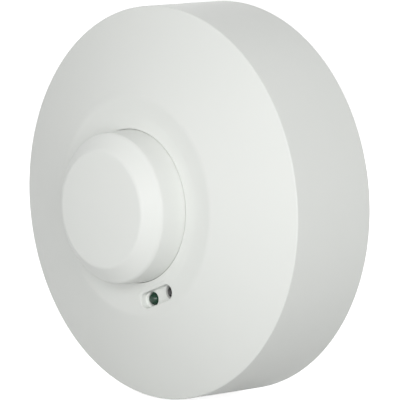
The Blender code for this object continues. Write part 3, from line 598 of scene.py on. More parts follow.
def housing_additions(bm):
    """Screw bosses, the window's tray, the ribs that meet the base plate, and a scale round each dial."""
    for place in cover_screw_places():
        rod(bm, place, PILLAR_RADIUS, CONTROL_HIGH.z + 0.3, WELL_FLOOR - 0.6)
        rod(bm, place, PILLAR_RADIUS + 0.6, WELL_FLOOR - 1, WELL_FLOOR + 0.25)
    outside = slot_ring(POCKET_HALF_SPAN, POCKET_HALF_WIDTH + POCKET_WALL)
    prism(bm, outside, POCKET_FLOOR - POCKET_FLOOR_THICKNESS, SHELF_HEIGHT - 0.5,
          window_point(POCKET_SHIFT), WINDOW_TURN)
    for i in range(8):
        angle = 22.5 + 45 * i
        box(bm, polar(REAR_RADIUS - COVER_WALL - 0.6, angle), (1.2, 3.2, 14.0), 8.0, angle + 90)
    for _, angle in DIALS:
        for i in range(7):
            around = angle + 180 + 45 * (i - 3)
            long = 1.3 if i in (0, 6) else 0.7
            mark = polar(DIAL_DISTANCE, angle) + polar(DIAL_HOLE + 0.5 + long / 2, around)
            box(bm, mark, (long, 0.3, 0.8), WELL_FLOOR - 0.6, around)


def housing_cuts(bm):
    for place in cover_screw_places():
        rod(bm, place, PILLAR_BORE, CONTROL_HIGH.z, WELL_FLOOR + 1)
    for _, angle in DIALS:
        rod(bm, polar(DIAL_DISTANCE, angle), DIAL_HOLE, WELL_UNDERSIDE - 1, WELL_FLOOR + 1)
    flare = 0.05
    steps = ((0, -POCKET_FLOOR_THICKNESS - 1), (0, -flare), (0.3 * flare, -0.4 * flare), (flare, 0.01),
             (flare, 0.1))
    for offset in (-WINDOW_OFFSET, WINDOW_OFFSET):
        rings = [(circle(WINDOW_HOLE + wider), POCKET_FLOOR + up) for wider, up in steps]
        lofted(bm, rings, window_point(offset))


def pocket_cut(bm):
    """The sunk window, with drafted walls, a rounded lip and a fillet round its floor."""
    section = rounded([
        (POCKET_HALF_WIDTH - 0.6, POCKET_FLOOR), (POCKET_HALF_WIDTH, POCKET_FLOOR, 0.12),
        (POCKET_HALF_WIDTH + 0.1, SHELF_HEIGHT + 0.02, 0.25),
        (POCKET_HALF_WIDTH + 1.0, SHELF_HEIGHT + 0.08), (POCKET_HALF_WIDTH + 1.0, SHELF_HEIGHT + 1.0),
    ])
    rings = [(slot_ring(POCKET_HALF_SPAN, half_width), height) for half_width, height in section]
    lofted(bm, rings, window_point(POCKET_SHIFT), WINDOW_TURN)


def front_cover():
    mesh = carved(turned_mesh(housing_section(), closed=True), [
        ("UNION", merged(housing_additions)),
        ("DIFFERENCE", filled(pocket_cut)),
        ("DIFFERENCE", filled(housing_cuts)),
    ])
    piece("front_cover", mesh, "white_abs", ["front_housing"], "cover", weighted=True)


def cap():
    crown_edge = 14.65
    crown_sag = 0.6
    shoulder = 18.75
    outside = WELL_RADIUS - SEAM
    section = rounded([
        *[(crown_edge * i / 8, CAP_CROWN - crown_sag * (i / 8) ** 2) for i in range(8)],
        (crown_edge, CAP_CROWN - crown_sag, 1.6), (shoulder, 40.45, 1.6), (outside, WELL_HEIGHT - 0.2),
        (outside, CAP_BOTTOM, 0.2), (outside - 1.8, CAP_BOTTOM, 0.2), (shoulder - 1.8, 39.5, 0.8),
        (crown_edge - 0.7, CAP_CROWN - 2.25, 0.6), (0.0, CAP_CROWN - 1.8),
    ])

    def slots(bm):
        for angle in range(0, 360, 60):
            box(bm, polar(CAP_RADIUS - 0.9, angle), (5.4, 1.2, 4), CAP_BOTTOM - 1, angle)

    def ribs(bm):
        for angle in range(15, 360, 60):
            box(bm, polar(outside - 2.1, angle), (1.0, 0.9, 6), CAP_BOTTOM + 2, angle)

    mesh = carved(turned_mesh(section), [("UNION", filled(ribs)), ("DIFFERENCE", filled(slots))])
    # The cap takes the lighter copy of the white ABS, which paints extra light on it.
    piece("cap", mesh, "white_abs", ["radome_cap"], "cap", weighted=True, finish=CAP_WHITE_PAINTED_LIGHTER)


# ---- window
def domed_package(node, name, slot, radius):
    """A flanged resin body with a domed end, and the inner ends of its two leads."""
    at, size, crown = foot(node)
    flange, shoulder = size.x / 2, crown - radius
    dome = [(across, shoulder + up) for up, across in arc(radius, 0, 90, 15)]
    body = rounded([(radius, at.z + 1), (flange, at.z + 1, 0.15), (flange, at.z, 0.1), (0.0, at.z)], steps=2)
    turned_piece(name, dome + body, at, slot, [node])

    def leads(bm):
        cup = rounded([(0.0, shoulder - 1.3), (0.3, shoulder - 1.3), (0.5, shoulder - 0.9),
                       (0.6, shoulder - 0.95), (0.4, shoulder - 2.2), (0.0, shoulder - 2.2)])
        turn(bm, cup, at + Vector((-0.25, 0, 0)), steps=20)
        box(bm, at + Vector((0.85, 0, 0)), (0.4, 0.5, 1.8), shoulder - 2.9)
    piece(f"{name}_leads", leads, "zinc_plated_steel")


def window_parts():
    domed_package("indicator_lamp", "lamp_lens", "lamp_green", 1.62)
    domed_package("light_cell", "cell_resin", "light_cell", 1.55)
    for name in ("lamp_spacer", "cell_spacer"):
        at, size, top = foot(name)
        radius = size.x / 2
        section = rounded([
            (0.0, top), (radius, top, 0.15), (radius, top - 0.7, 0.1), (0.85 * radius, top - 0.9),
            (0.85 * radius, at.z + 0.7), (radius, at.z + 0.5, 0.1), (radius, at.z, 0.1), (0.0, at.z),
        ], steps=3)
        turned_piece(f"{name}_tube", section, at, "black_plastic", [name])


# ---- base plate
def pillars():
    """Place, height and bore depth of every pillar on the base plate."""
    groups = ((cover_screw_places(), CONTROL_LOW.z, 8.5), (feet(CONTROL_SCREWS), CONTROL_LOW.z, 8.0),
              (feet(POWER_SCREWS), POWER_LOW.z, 6.5))
    return [(place, board - 0.3, depth) for places, board, depth in groups for place in places]


def base_additions(bm):
    for place, top, _ in pillars():
        section = rounded([(0.0, top), (PILLAR_RADIUS, top, 0.3), (PILLAR_RADIUS, 3.4, 0.6),
                           (PILLAR_RADIUS + 0.9, BASE_THICKNESS - 0.05), (PILLAR_RADIUS, 1), (0.0, 1)])
        turn(bm, section, place, steps=40)
        for angle in range(45, 360, 90):
            box(bm, place + polar(PILLAR_RADIUS + 0.3, angle), (3.2, 0.8, 3.0), 2.0, angle)
    collar = CABLE_COUNTERBORE[0] + 1.6
    ring(bm, collar - 1.0, collar, 2.0, 3.6, CABLE_ENTRY)


def base_cuts(bm):
    for place, top, depth in pillars():
        rod(bm, place, PILLAR_BORE, top - depth, top + 1, 32)
    rod(bm, CABLE_ENTRY, CABLE_COUNTERBORE[0], -1, CABLE_COUNTERBORE[1])
    rod(bm, CABLE_ENTRY, CABLE_HOLE, -1, BASE_THICKNESS + 2)


def base_slots(bm):
    width, length, depth = CABLE_CHANNEL
    box(bm, CABLE_ENTRY + Vector((0, length / 2 + 2, 0)), (width, length, depth + 1), -1)
    head_x, head_y, _ = KEYHOLE_HEAD
    slot_top, slot_radius = KEYHOLE_SLOT
    outline = slot_ring((slot_top - head_y) / 2, slot_radius)
    for x in (-head_x, head_x):
        prism(bm, outline, -1, BASE_THICKNESS + 1, (x, (slot_top + head_y) / 2), 90)
    slot_y, slot_span, slot_radius = BOTTOM_SLOT
    prism(bm, slot_ring(slot_span, slot_radius), -1, BASE_THICKNESS + 1, (0, slot_y))


def keyhole_heads(bm):
    head_x, head_y, head_radius = KEYHOLE_HEAD
    for x in (-head_x, head_x):
        rod(bm, (x, head_y), head_radius, -1, BASE_THICKNESS + 1)


def rear_pockets(bm):
    """Shallow pockets that thin the plate's rear face between ribs."""
    outlines = [sector(17, 34, start, start + 39) for start in range(-170, 0, 42)]
    for outline in outlines + [sector(3.5, 14.5, -178, 178, 64)]:
        prism(bm, outline, -1, 0.5)


def back_plate():
    edge = span("base_plate")[1].x
    inside, outside, rim_top = BASE_RIM
    section = rounded([
        (0.0, BASE_THICKNESS), (inside, BASE_THICKNESS, 0.4), (inside, rim_top, 0.3), (outside, rim_top, 0.3),
        (outside, BASE_THICKNESS, 0.3), (edge, BASE_THICKNESS, 0.3), (edge, 0.0, 0.3), (0.0, 0.0),
    ])
    cutters = (base_cuts, base_slots, keyhole_heads, rear_pockets)
    steps = [("UNION", merged(base_additions))] + [("DIFFERENCE", merged(cutter)) for cutter in cutters]
    mesh = carved(turned_mesh(section, steps=192), steps)
    piece("back_plate", mesh, "white_abs", ["base_plate"], weighted=True)


def grommet():
    at, size, top = foot("cable_grommet")
    flange, bore, neck = size.x / 2, 4.5, CABLE_HOLE - 0.3
    above, below = BASE_THICKNESS + 0.3, CABLE_COUNTERBORE[1] - 0.3
    section = rounded([
        (bore, top - 0.5, 0.2), (bore + 1.0, top, 0.4), (flange, top - 0.1, 0.5), (flange, above, 0.15),
        (neck, above), (neck, below), (flange, below, 0.15), (flange, at.z, 0.3), (bore, at.z, 0.3),
        (bore, at.z + 1.2, 0.2), (bore + 0.5, at.z + 1.6, 0.2), (bore, at.z + 2.1, 0.2),
    ], closed=True, steps=4)
    turned_piece("cable_seal", section, at, "black_rubber", ["cable_grommet"], closed=True)


# ---- screws
def screw_body(node, body, section, drive, thread):
    """A turned screw with its drive cut in, and a thread (core, crest, pitch, low, high) wound round it."""
    place = foot(node)[0]
    shaft = cut_from(lambda bm: turn(bm, section, place), drive)
    mesh = with_more(shaft, lambda bm: helix(bm, place, *thread))
    piece(f"{node}_body", mesh, "zinc_plated_steel", [node], body)


def pan_head_screw(node, body="base"):
    """A thread-forming screw: a domed head with a cross recess, and a rolled thread down to its point."""
    place, size, top = foot(node)
    tip, head, seat = place.z, size.x / 2, top - 2.0
    core, crest = 1.0, 1.42
    section = rounded([
        (0.0, top), (0.5 * head, top - 0.08), (0.97 * head, top - 0.95, 0.7), (head, seat, 0.15),
        (crest, seat, 0.1), (core, seat - 0.6), (core, tip + 1.6), (0.25, tip), (0.0, tip),
    ])

    def cross(bm):
        wide, deep = rectangle(3.0, 0.62), rectangle(1.1, 0.42)
        for angle in (45, 135):
            lofted(bm, [(deep, top - 1.15), (wide, top - 0.1), (wide, top + 0.2)], place, angle)
    screw_body(node, body, section, cross, (0.8 * core, crest, 0.95, tip + 1.2, seat - 0.9))


def clamp_screw(node):
    place, size, top = foot(node)
    tip, head, seat, core = place.z, size.x / 2, top - 2.4, 0.7
    section = rounded([(0.0, top), (head, top, 0.25), (head, seat, 0.15), (core, seat - 0.2),
                       (core, tip + 0.4), (0.6 * core, tip), (0.0, tip)], steps=3)

    def slot(bm):
        box(bm, place, (4 * head, 0.5, 2), top - 0.8)
    screw_body(node, node, section, slot, (0.55, 0.93, 0.5, tip + 0.3, seat - 0.3))


def clamp_cage(node):
    place, size, top = foot(node)
    width, height, floor = 2.6, 2.5, 0.6

    def opening(bm):
        soft_box(bm, place + Vector((0, 0, floor)), (width, 2 * size.y, height), 0.3)

    def hole(bm):
        rod(bm, place, 1.25, place.z + floor + height - 0.3, top + 1, 32)

    def ridges(bm):
        for i in range(5):
            at = place + Vector((0, (i - 2) * 0.55, 0))
            box(bm, at, (width - 0.1, 0.22, 0.22), place.z + floor - 0.08)
    mesh = cut_from(lambda bm: soft_box(bm, place, size, 0.45, segments=3), opening, hole)
    piece(f"{node}_body", with_more(mesh, ridges), "nickel_brass", [node], node)


def screws():
    for name in CONTROL_SCREWS + POWER_SCREWS:
        pan_head_screw(name)
    for number in (1, 2, 3):
        pan_head_screw(f"cover_screw_{number}", f"cover_screw_{number}")
        clamp_screw(f"terminal_screw_{number}")
        clamp_cage(f"terminal_clamp_{number}")


# ---- circuit boards
ROUND_PARTS = ("smoothing_capacitor", "reservoir_capacitor", "fuse", "inductor")
POWER_LINKS = (                     # the parts that a track joins, the shift of each end, and its width
    ("terminal_block", (0, -5), "relay_case", (0, 10), 2.0),
    ("terminal_block", (5, -5), "fuse", (5, 3), 1.6),
    ("fuse", (4, 0), "varistor", (-4, 2), 1.6),
    ("varistor", (3, 2), "inductor", (-4, 2), 1.4),
    ("inductor", (2, 5), "bridge_rectifier", (2, -4), 1.2),
    ("bridge_rectifier", (5, 1), "smoothing_capacitor", (-6, 3), 1.0),
    ("smoothing_capacitor", (-3, -6), "reservoir_capacitor", (2, 5), 1.0),
    ("power_chip", (5, 2), "suppression_capacitor", (-5, 1), 0.9),
    ("power_chip", (3, -4), "bridge_rectifier", (-2, 4), 0.7),
    ("power_chip", (-3, -4), "board_link_header", (-7, 2), 0.7),
    ("board_link_header", (8, 0), "reservoir_capacitor", (-3, 5), 0.8),
    ("board_link_header", (-4, -2), "inductor", (-3, 5), 0.6),
)
POWER_PARTS = dict.fromkeys(node for link in POWER_LINKS for node in (link[0], link[2]))
POWER_CHIPS = (                     # across, up, and the angle of each chip
    (-10, 3, 0), (-6, 3, 0), (9, 9, 90), (11.5, 9, 90), (12, -6, 0), (12, -9, 0), (15.5, -7.5, 90),
    (-9, -14, 90), (-6.5, -14, 90), (6, -15, 0), (10, -17, 0), (12, -22, 90), (-2, -19, 0), (-20, 6, 90),
)
CONTROL_PARTS = ("lamp_spacer", "cell_spacer")
CONTROL_LINKS = (
    ("microcontroller", (0, 5), "sensitivity_trimmer", (-2, -4.2), 0.4),
    ("microcontroller", (1.2, 5), "sensitivity_trimmer", (2.5, -4.2), 0.4),
    ("microcontroller", (-4, -2), "time_trimmer", (4, 3), 0.4),
    ("microcontroller", (4, -2), "light_level_trimmer", (-4, 3), 0.4),
    ("microcontroller", (2, -5), "lamp_spacer", (-3.2, 2), 0.4),
    ("microcontroller", (3.4, -5), "cell_spacer", (-2, 3), 0.4),
    ("control_board_screw_2", (5, 1.5), "sensitivity_trimmer", (-4.5, -2.5), 0.6),
    ("control_board_screw_1", (-5, 1.5), "sensitivity_trimmer", (4.5, -2.5), 0.6),
    ("control_board_screw_3", (3.8, 0), "lamp_spacer", (-4, 0), 0.6),
)
CONTROL_CHIPS = (
    (-17.2, 4.5, 60), (-16.6, 10.2, 60), (17.2, 4.5, 120), (16.6, 10.2, 120), (-6, 14.5, 90), (7, 14.5, 90),
    (-15.5, -8.5, 45), (16, -7.5, 90), (4.5, -10.5, 0), (5, -13, 0), (-4.6, -11, 90), (0.5, -19.5, 0),
    (14, -13, 45), (4.5, -18.5, 0),
)


def through(bm, places, radius, low, high):
    for place in places:
        rod(bm, place, radius, low - 1, high + 1)


def power_board():
    low, high, radius = POWER_LOW.z, POWER_HIGH.z, POWER_HIGH.x
    upper = math.degrees(math.asin(POWER_HIGH.y / radius))
    lower = math.degrees(math.asin(POWER_LOW.y / radius))
    outline = arc(radius, lower, upper, 40) + arc(radius, 180 - upper, 180 - lower, 40)

    def holes(bm):
        pillars_through = cover_screw_places() + feet(CONTROL_SCREWS)
        through(bm, pillars_through, PILLAR_RADIUS + PILLAR_CLEARANCE, low, high)
        through(bm, feet(POWER_SCREWS), PILLAR_BORE, low, high)
    mesh = cut_from(lambda bm: prism(bm, outline, low, high), holes)
    piece("power_circuit_board", mesh, "green_board", ["power_board"])


def control_board():
    low, high, radius = CONTROL_LOW.z, CONTROL_HIGH.z, CONTROL_HIGH.x
    upper = math.degrees(math.asin(17.5 / radius))
    outline = arc(radius, -180 - upper, upper, 120)
    tongue = slot_ring(POCKET_HALF_SPAN, 4.4)

    def reach(bm):
        prism(bm, tongue, low, high, window_point(POCKET_SHIFT), WINDOW_TURN)

    def holes(bm):
        through(bm, cover_screw_places(), PILLAR_BORE + 0.3, low, high)
        through(bm, feet(CONTROL_SCREWS), PILLAR_BORE, low, high)
    disc = filled(lambda bm: prism(bm, outline, low, high))
    mesh = carved(disc, [("UNION", filled(reach)), ("DIFFERENCE", filled(holes))])
    piece("control_circuit_board", mesh, "green_board", ["control_board"])


def frame_lines(bm, node, level, margin=0.5, line=0.22, thick=0.03):
    """A printed outline round a part's foot: four strips, or a ring round a round part."""
    place, size, _ = foot(node)
    wide, deep = size.x / 2 + margin, size.y / 2 + margin
    if node in ROUND_PARTS:
        ring(bm, wide, wide + line, level - thick, level + thick, place)
        return
    two_boxes(bm, place, (0, deep), (2 * wide - line, line, 2 * thick), level - thick)
    two_boxes(bm, place, (wide, 0), (line, 2 * deep + line, 2 * thick), level - thick)


def track(bm, start, end, width, level, number):
    """A copper track under the lacquer: one straight run and one at 45 degrees."""
    across, along = end.x - start.x, end.y - start.y
    if abs(across) > abs(along):
        bend = Vector((end.x - math.copysign(abs(along), across), start.y, 0))
    else:
        bend = Vector((start.x, end.y - math.copysign(abs(across), along), 0))
    for k, (first, second) in enumerate(((start, bend), (bend, end))):
        run = second - first
        length = math.hypot(run.x, run.y)
        if length < 0.1:
            continue
        angle = math.degrees(math.atan2(run.y, run.x))
        height = 0.1 + 0.004 * (number % 5) + 0.002 * k
        box(bm, (first + second) / 2, (length + 0.4 * width, width, height), level - 0.05, angle)


def joint(bm, place, level, radius=0.75, height=0.55):
    """A solder joint: a small fillet round a clipped lead."""
    shape = ((0.0, 1.0), (0.3, 1.0), (0.38, 0.5), (0.65, 0.15))
    section = [(radius * across, level + height * up) for across, up in shape]
    section += [(radius, level + 0.02), (radius, level - 0.03), (0.0, level - 0.03)]
    turn(bm, section, place, steps=20)


def board_details(prefix, screw_places, pad, parts, links, chips, level):
    """What lies on a board: tinned rings round the screws, print, tracks with their joints, and chips."""
    piece(f"{prefix}_pads", lambda bm: [ring(bm, 1.9, pad, level - 0.02, level + 0.05, place, 36)
                                        for place in screw_places], "zinc_plated_steel")
    piece(f"{prefix}_print", lambda bm: [frame_lines(bm, part, level) for part in parts], "white_abs")
    ends = [[foot(node)[0] + Vector((*shift, 0)) for node, shift in (link[:2], link[2:4])] for link in links]

    def tracks(bm):
        for number, ((start, end), link) in enumerate(zip(ends, links)):
            track(bm, start, end, link[4], level, number)
    piece(f"{prefix}_tracks", tracks, "green_board", finish=TRACK_GREEN)
    piece(f"{prefix}_joints", lambda bm: [joint(bm, place, level) for pair in ends for place in pair],
          "zinc_plated_steel")
    chip_parts(prefix, chips, level)


def chip_parts(prefix, places, level):
    """Small surface-mounted resistors and capacitors: dark or tan bodies with tinned ends."""
    long, wide, high = 2.0, 1.25, 0.55

    def bodies(wanted):
        def fill(bm):
            for number, (x, y, angle) in enumerate(places):
                if number % 3 // 2 == wanted:
                    soft_box(bm, Vector((x, y, level)), (0.7 * long, wide, high), 0.06, angle)
        return fill

    def ends(bm):
        for x, y, angle in places:
            for side in (-1, 1):
                at = Vector((x, y, level)) + polar(side * 0.42 * long, angle)
                soft_box(bm, at, (0.16 * long, wide + 0.02, high + 0.02), 0.05, angle)
                toe = at + polar(side * 0.12 * long, angle)
                soft_box(bm, toe, (0.2 * long, wide, 0.3 * high), 0.04, angle)
    piece(f"{prefix}_resistors", bodies(0), "black_plastic")
    piece(f"{prefix}_ceramics", bodies(1), "fuse_brown")
    piece(f"{prefix}_chip_ends", ends, "zinc_plated_steel")


# ---- power board's parts
def terminal_block():
    place, size, top = foot("terminal_block")
    pitch, wide, low, high = 5.4, 4.4, 10.9, 17.0
    poles = [place + Vector((k * pitch, 0, 0)) for k in (-1, 0, 1)]

    def entries(bm):
        for pole in poles:
            soft_box(bm, Vector((pole.x, pole.y + 1.8, low)), (wide, size.y, high - low), 0.25)

    def funnels(bm):
        for pole in poles:
            mouth = Matrix.Translation((pole.x, pole.y + size.y / 2 + 0.6, (low + high) / 2))
            solid = bmesh.new()
            lofted(solid, [(rectangle(wide - 0.4, high - low - 0.4), -1.2),
                           (rectangle(wide + 0.8, high - low + 1.2), 0.2)])
            put(bm, solid, mouth @ Matrix.Rotation(math.radians(-90), 4, "X"))

    def screw_holes(bm):
        steps = ((1.95, high - 0.5), (1.95, top - 0.35), (2.35, top + 0.05), (2.35, top + 1))
        for pole in poles:
            lofted(bm, [(circle(radius), height) for radius, height in steps], pole)

    def grooves(bm):
        rear = place - Vector((0, size.y / 2, 0))
        two_boxes(bm, place, (pitch / 2, 0), (0.5, 2 * size.y, 1), top - 0.5)
        two_boxes(bm, rear, (pitch / 2, 0), (0.5, 0.9, 2 * size.z), place.z - 1)
    cuts = (entries, funnels, screw_holes, grooves)
    cut_box("terminal_housing", "terminal_block", "grey_polyamide", 0.35, *cuts)


def relay():
    place, size, top = foot("relay_case")
    wall = 0.8

    def inside(bm):
        room = (size.x - 2 * wall, size.y - 2 * wall, size.z - wall + 1)
        soft_box(bm, place - Vector((0, 0, 1)), room, 0.4)

    def marks(bm):
        """A shallow line on each side of the lid, and a dimple at one corner."""
        rod(bm, place + Vector((0.36 * size.x, -0.38 * size.y, 0)), 0.6, top - 0.25, top + 1, 24)
        two_boxes(bm, place, (0.42 * size.x, 0), (0.3, 0.8 * size.y, 1), top - 0.15)

    def skirt(bm):
        two_boxes(bm, place, (size.x / 2, 0), (0.3, 0.86 * size.y, 0.4), place.z + 1.6)
        two_boxes(bm, place, (0, size.y / 2), (0.86 * size.x, 0.3, 0.4), place.z + 1.6)
    cut_box("relay_cover", "relay_case", "relay_blue", 0.7, inside, marks, skirt, taper=0.15, segments=3)
    coil, coil_size, crown = foot("relay_coil")
    radius, low, high = coil_size.x / 2, coil.z, crown - 0.5
    bobbin = [(0.0, crown), (0.5 * radius, crown), (0.5 * radius, high), (radius, high), (radius, high - 0.8),
              (0.8 * radius, high - 0.8), (0.8 * radius, low + 0.8), (radius, low + 0.8), (radius, low),
              (0.0, low)]
    turned_piece("relay_bobbin", bobbin, coil, "black_plastic", ["relay_coil"])
    winding("relay_winding", coil, 0.78 * radius, 0.86 * radius, low + 0.85, high - 0.85, 0.3)


def winding(name, at, inner, outer, low, high, wire):
    """Turns of wire side by side, as one ribbed sleeve."""
    turns = int((high - low) / wire)
    pitch = (high - low) / turns
    section = [(inner, high)]
    for i in range(turns):
        for angle in (60, 20, -20, -60):
            rib = polar(0.5, angle)
            section.append((outer + (rib.x - 0.5) * wire,
                            high - (i + 0.5) * pitch + rib.y * pitch / math.sin(math.radians(75))))
    turned_piece(name, [*section, (inner, low)], at, "enamelled_copper", closed=True, sharp=60)


def film_capacitor():
    place, size, top = foot("suppression_capacitor")

    def hollows(bm):
        box(bm, place, (size.x - 2.4, size.y - 2.4, 1.4), place.z - 0.4)
        two_boxes(bm, place, (0, size.y / 2), (0.5, 0.4, 0.7 * size.z), place.z + 2)
        rod(bm, place + Vector((0.25 * size.x, 0.4 * size.y, 0)), 0.5, top - 0.15, top + 1, 24)
    cut_box("film_capacitor_case", "suppression_capacitor", "capacitor_yellow", 0.55, hollows, taper=0.12,
            segments=3)

    def legs(bm):
        for side in (-7.5, 7.5):
            rod(bm, place + Vector((0, side, 0)), 0.4, POWER_HIGH.z, place.z + 1.2, 16)
    piece("film_capacitor_legs", legs, "zinc_plated_steel")


def can_capacitor(node, stripe_angle):
    """An electrolytic capacitor: a shrunk sleeve with a pale stripe over a can with a scored top."""
    at, size, top = foot(node)
    low, radius = at.z, size.x / 2
    section = rounded([
        (0.0, top - 0.35), (0.76 * radius, top - 0.35), (0.78 * radius, top, 0.15), (radius - 0.1, top, 0.5),
        (radius, low + 2.7, 0.4), (radius - 0.35, low + 2.1, 0.3), (radius, low + 1.5, 0.4),
        (radius, low, 0.25), (0.0, low),
    ])
    turned_piece(f"{node}_sleeve", section, at, "capacitor_sleeve", [node])
    disc = [(0.0, top - 0.15), (0.7 * radius, top - 0.15), (0.74 * radius, top - 0.25),
            (0.74 * radius, top - 0.36), (0.0, top - 0.36)]

    def score(bm):
        for angle in (20, 110):
            box(bm, at, (1.1 * radius, 0.16, 1), top - 0.25, angle)
    piece(f"{node}_top", cut_from(lambda bm: turn(bm, disc, at), score), "zinc_plated_steel")

    def stripe(bm):
        outline = sector(radius - 0.05, radius + 0.02, stripe_angle - 24, stripe_angle + 24)
        prism(bm, outline, low + 3.0, top - 0.9, at)

    def dashes(bm):
        for i in range(int(size.z / 2.4) - 1):
            box(bm, at + polar(radius, stripe_angle), (1, 1.2, 0.4), low + 4 + 2.4 * i, stripe_angle)
    piece(f"{node}_stripe", cut_from(stripe, dashes), "white_abs")


def leaded_parts():
    """The varistor, the fuse and their legs."""
    place, size, top = foot("varistor")
    radius, thick = size.x / 2, size.y
    section = rounded([(0.0, thick / 2), (0.75 * radius, thick / 2 - 0.15, 2), (radius, 0.25 * thick, 0.9),
                       (radius, -0.25 * thick, 0.9), (0.75 * radius, 0.15 - thick / 2, 2), (0.0, -thick / 2)])
    lie = Matrix.Translation((0, 0, top - radius)) @ Matrix.Rotation(math.radians(90), 4, "X")
    run = [(across, place.z + up) for across, up in
           ((0.0, 3.4), (0.45, 2.9), (0.75, 2.4), (0.5, 1.2), (0.36, 1.0), (0.0, 1.0))]
    sides = [Vector((side, 0, 0)) for side in (-2.5, 2.5)]

    def disc(bm):
        turn(bm, section, place, lie=lie)
        for side in sides:
            turn(bm, run, place + side, steps=20)
    piece("varistor_disc", disc, "varistor_blue", ["varistor"])
    can, can_size, crown = foot("fuse")
    low, rim = can.z + 0.6, can_size.x / 2
    shell = rounded([(0.0, crown - 0.1), (0.6 * rim, crown - 0.1), (0.66 * rim, crown, 0.1),
                     (rim, crown, 0.6), (rim, low + 0.8, 0.1), (rim - 0.15, low + 0.6),
                     (rim - 0.15, low, 0.2), (0.0, low)])
    turned_piece("fuse_can", shell, can, "fuse_brown", ["fuse"])

    def legs(bm):
        for middle, reach in ((place, 1.6), (can, 0.8)):
            for side in sides:
                rod(bm, middle + side, 0.3, POWER_HIGH.z - 0.02, middle.z + reach, 16)
                joint(bm, middle + side, POWER_HIGH.z, 0.7, 0.35)
    piece("leaded_part_legs", legs, "zinc_plated_steel")


def inductor():
    at, size, top = foot("inductor")
    low, flange, waist = at.z, size.x / 2, 2.4
    core = rounded([(0.0, top - 0.3), (0.35 * flange, top - 0.3), (0.45 * flange, top), (flange, top, 0.25),
                    (flange, top - 1.2, 0.2), (waist, top - 1.2), (waist, low + 1.2),
                    (flange, low + 1.2, 0.2), (flange, low, 0.25), (0.0, low)], steps=3)
    turned_piece("inductor_core", core, at, "black_plastic", ["inductor"])
    winding("inductor_winding", at, waist - 0.1, 3.25, low + 1.25, top - 1.25, 0.42)


def dual_in_line(node, name, level, pins, pitch, angle=0):
    """A moulded chip with a notch, a dimple, and legs bent down to its board; its length runs at `angle`."""
    place, size, top = foot(node)
    long, wide = (size.y, size.x) if angle else (size.x, size.y)
    middle = place.z + size.z / 2
    draft = 0.12 * size.z

    def body(bm):
        narrow, full = rectangle(long - 2 * draft, wide - 2 * draft - 0.8), rectangle(long, wide - 0.8)
        lofted(bm, [(narrow, place.z), (full, middle), (narrow, top)], place, angle)

    def marks(bm):
        rod(bm, place + spun(angle, draft - long / 2, 0), 0.6, top - 0.4, top + 1, 24)
        rod(bm, place + spun(angle, 1.5 - long / 2, -0.22 * wide), 0.35, top - 0.12, top + 1, 24)
    piece(name, cut_from(body, marks), "black_plastic", [node], sharp=25)

    def legs(bm):
        width = 0.35 * pitch
        for k in range(pins):
            for side in (-1, 1):
                along = (k - (pins - 1) / 2) * pitch
                inner, outer, toe = [place + spun(angle, along, side * (wide / 2 + out))
                                     for out in (-0.3, -0.1, 0.1)]
                box(bm, inner, (width, 0.5, 0.18), middle - 0.09, angle)
                box(bm, outer, (width, 0.18, middle + 0.08 - level), level, angle)
                toe.z = level - 0.02
                soft_box(bm, toe, (1.4 * width, 0.7, 0.2), 0.06, angle)
    piece(f"{name}_legs", legs, "zinc_plated_steel")


def link_header():
    place, size, _ = foot("board_link_header")
    positions = 6
    along = [place + Vector((size.x * (k / (2 * positions) - 0.5), 0, 0)) for k in range(1, 2 * positions)]

    def notches(bm):
        for at in along[1::2]:
            two_boxes(bm, at, (0, size.y / 2), (0.6, 0.7, 2 * size.z), place.z - 1)
    cut_box("header_block", "board_link_header", "black_plastic", 0.2, notches)

    def pins(bm):
        for at in along[::2]:
            box(bm, at, (0.64, 0.64, 3.2), CONTROL_LOW.z - 0.6)
            joint(bm, at, CONTROL_HIGH.z, 0.8, 0.6)
    piece("header_pins", pins, "nickel_brass")


# ---- control board's parts and the antenna
def trimmer_and_dial(name, direction):
    place, size, top = foot(f"{name}_trimmer")
    side, angle = 6.6, direction - 90

    def seat(bm):
        rod(bm, place, 2.5, top - 0.4, top + 1)
        for corner in (-1, 1):
            at = place + spun(angle, corner * 0.5 * side, -0.5 * side)
            box(bm, at, (1.4, 1.4, 2 * size.z), place.z - 1, angle)
    mesh = cut_from(lambda bm: soft_box(bm, place, (side, side, size.z), 0.3, angle), seat)
    piece(f"{name}_trimmer_body", mesh, "black_plastic", [f"{name}_trimmer"])

    def legs(bm):
        for across, along in ((-2.5, -3.5), (2.5, -3.5), (0, 3.5)):
            at = place + spun(angle, across, along)
            box(bm, at, (0.9, 0.25, 1.6), CONTROL_HIGH.z, angle)
            joint(bm, at, CONTROL_HIGH.z, 0.7, 0.4)
    piece(f"{name}_trimmer_legs", legs, "zinc_plated_steel")

    dial, dial_size, crown = foot(f"{name}_dial")
    low, radius = dial.z, dial_size.x / 2

    def fluted(shrink):
        angles = [2.5 * i for i in range(144)]
        return [polar(radius - shrink - 0.09 * (1 - math.cos(math.radians(18 * a))), a).xy for a in angles]

    def knob(bm):
        rings = [(circle(radius - 0.2, 144), low), (fluted(0.0), low + 0.25), (fluted(0.0), crown - 0.45),
                 (fluted(0.12), crown - 0.2), (circle(radius - 0.45, 144), crown)]
        lofted(bm, rings, dial, angle)

    def arrow(bm):
        """The screwdriver slot, with a pointed end."""
        slot = [(0.0, 2.3), (-0.9, 1.2), (-0.45, 1.2), (-0.45, -2.1), (0.45, -2.1), (0.45, 1.2), (0.9, 1.2)]
        prism(bm, slot, crown - 1.2, crown + 1, dial, angle)
    piece(f"{name}_dial_knob", cut_from(knob, arrow), "dial_cream", [f"{name}_dial"], f"{name}_dial")


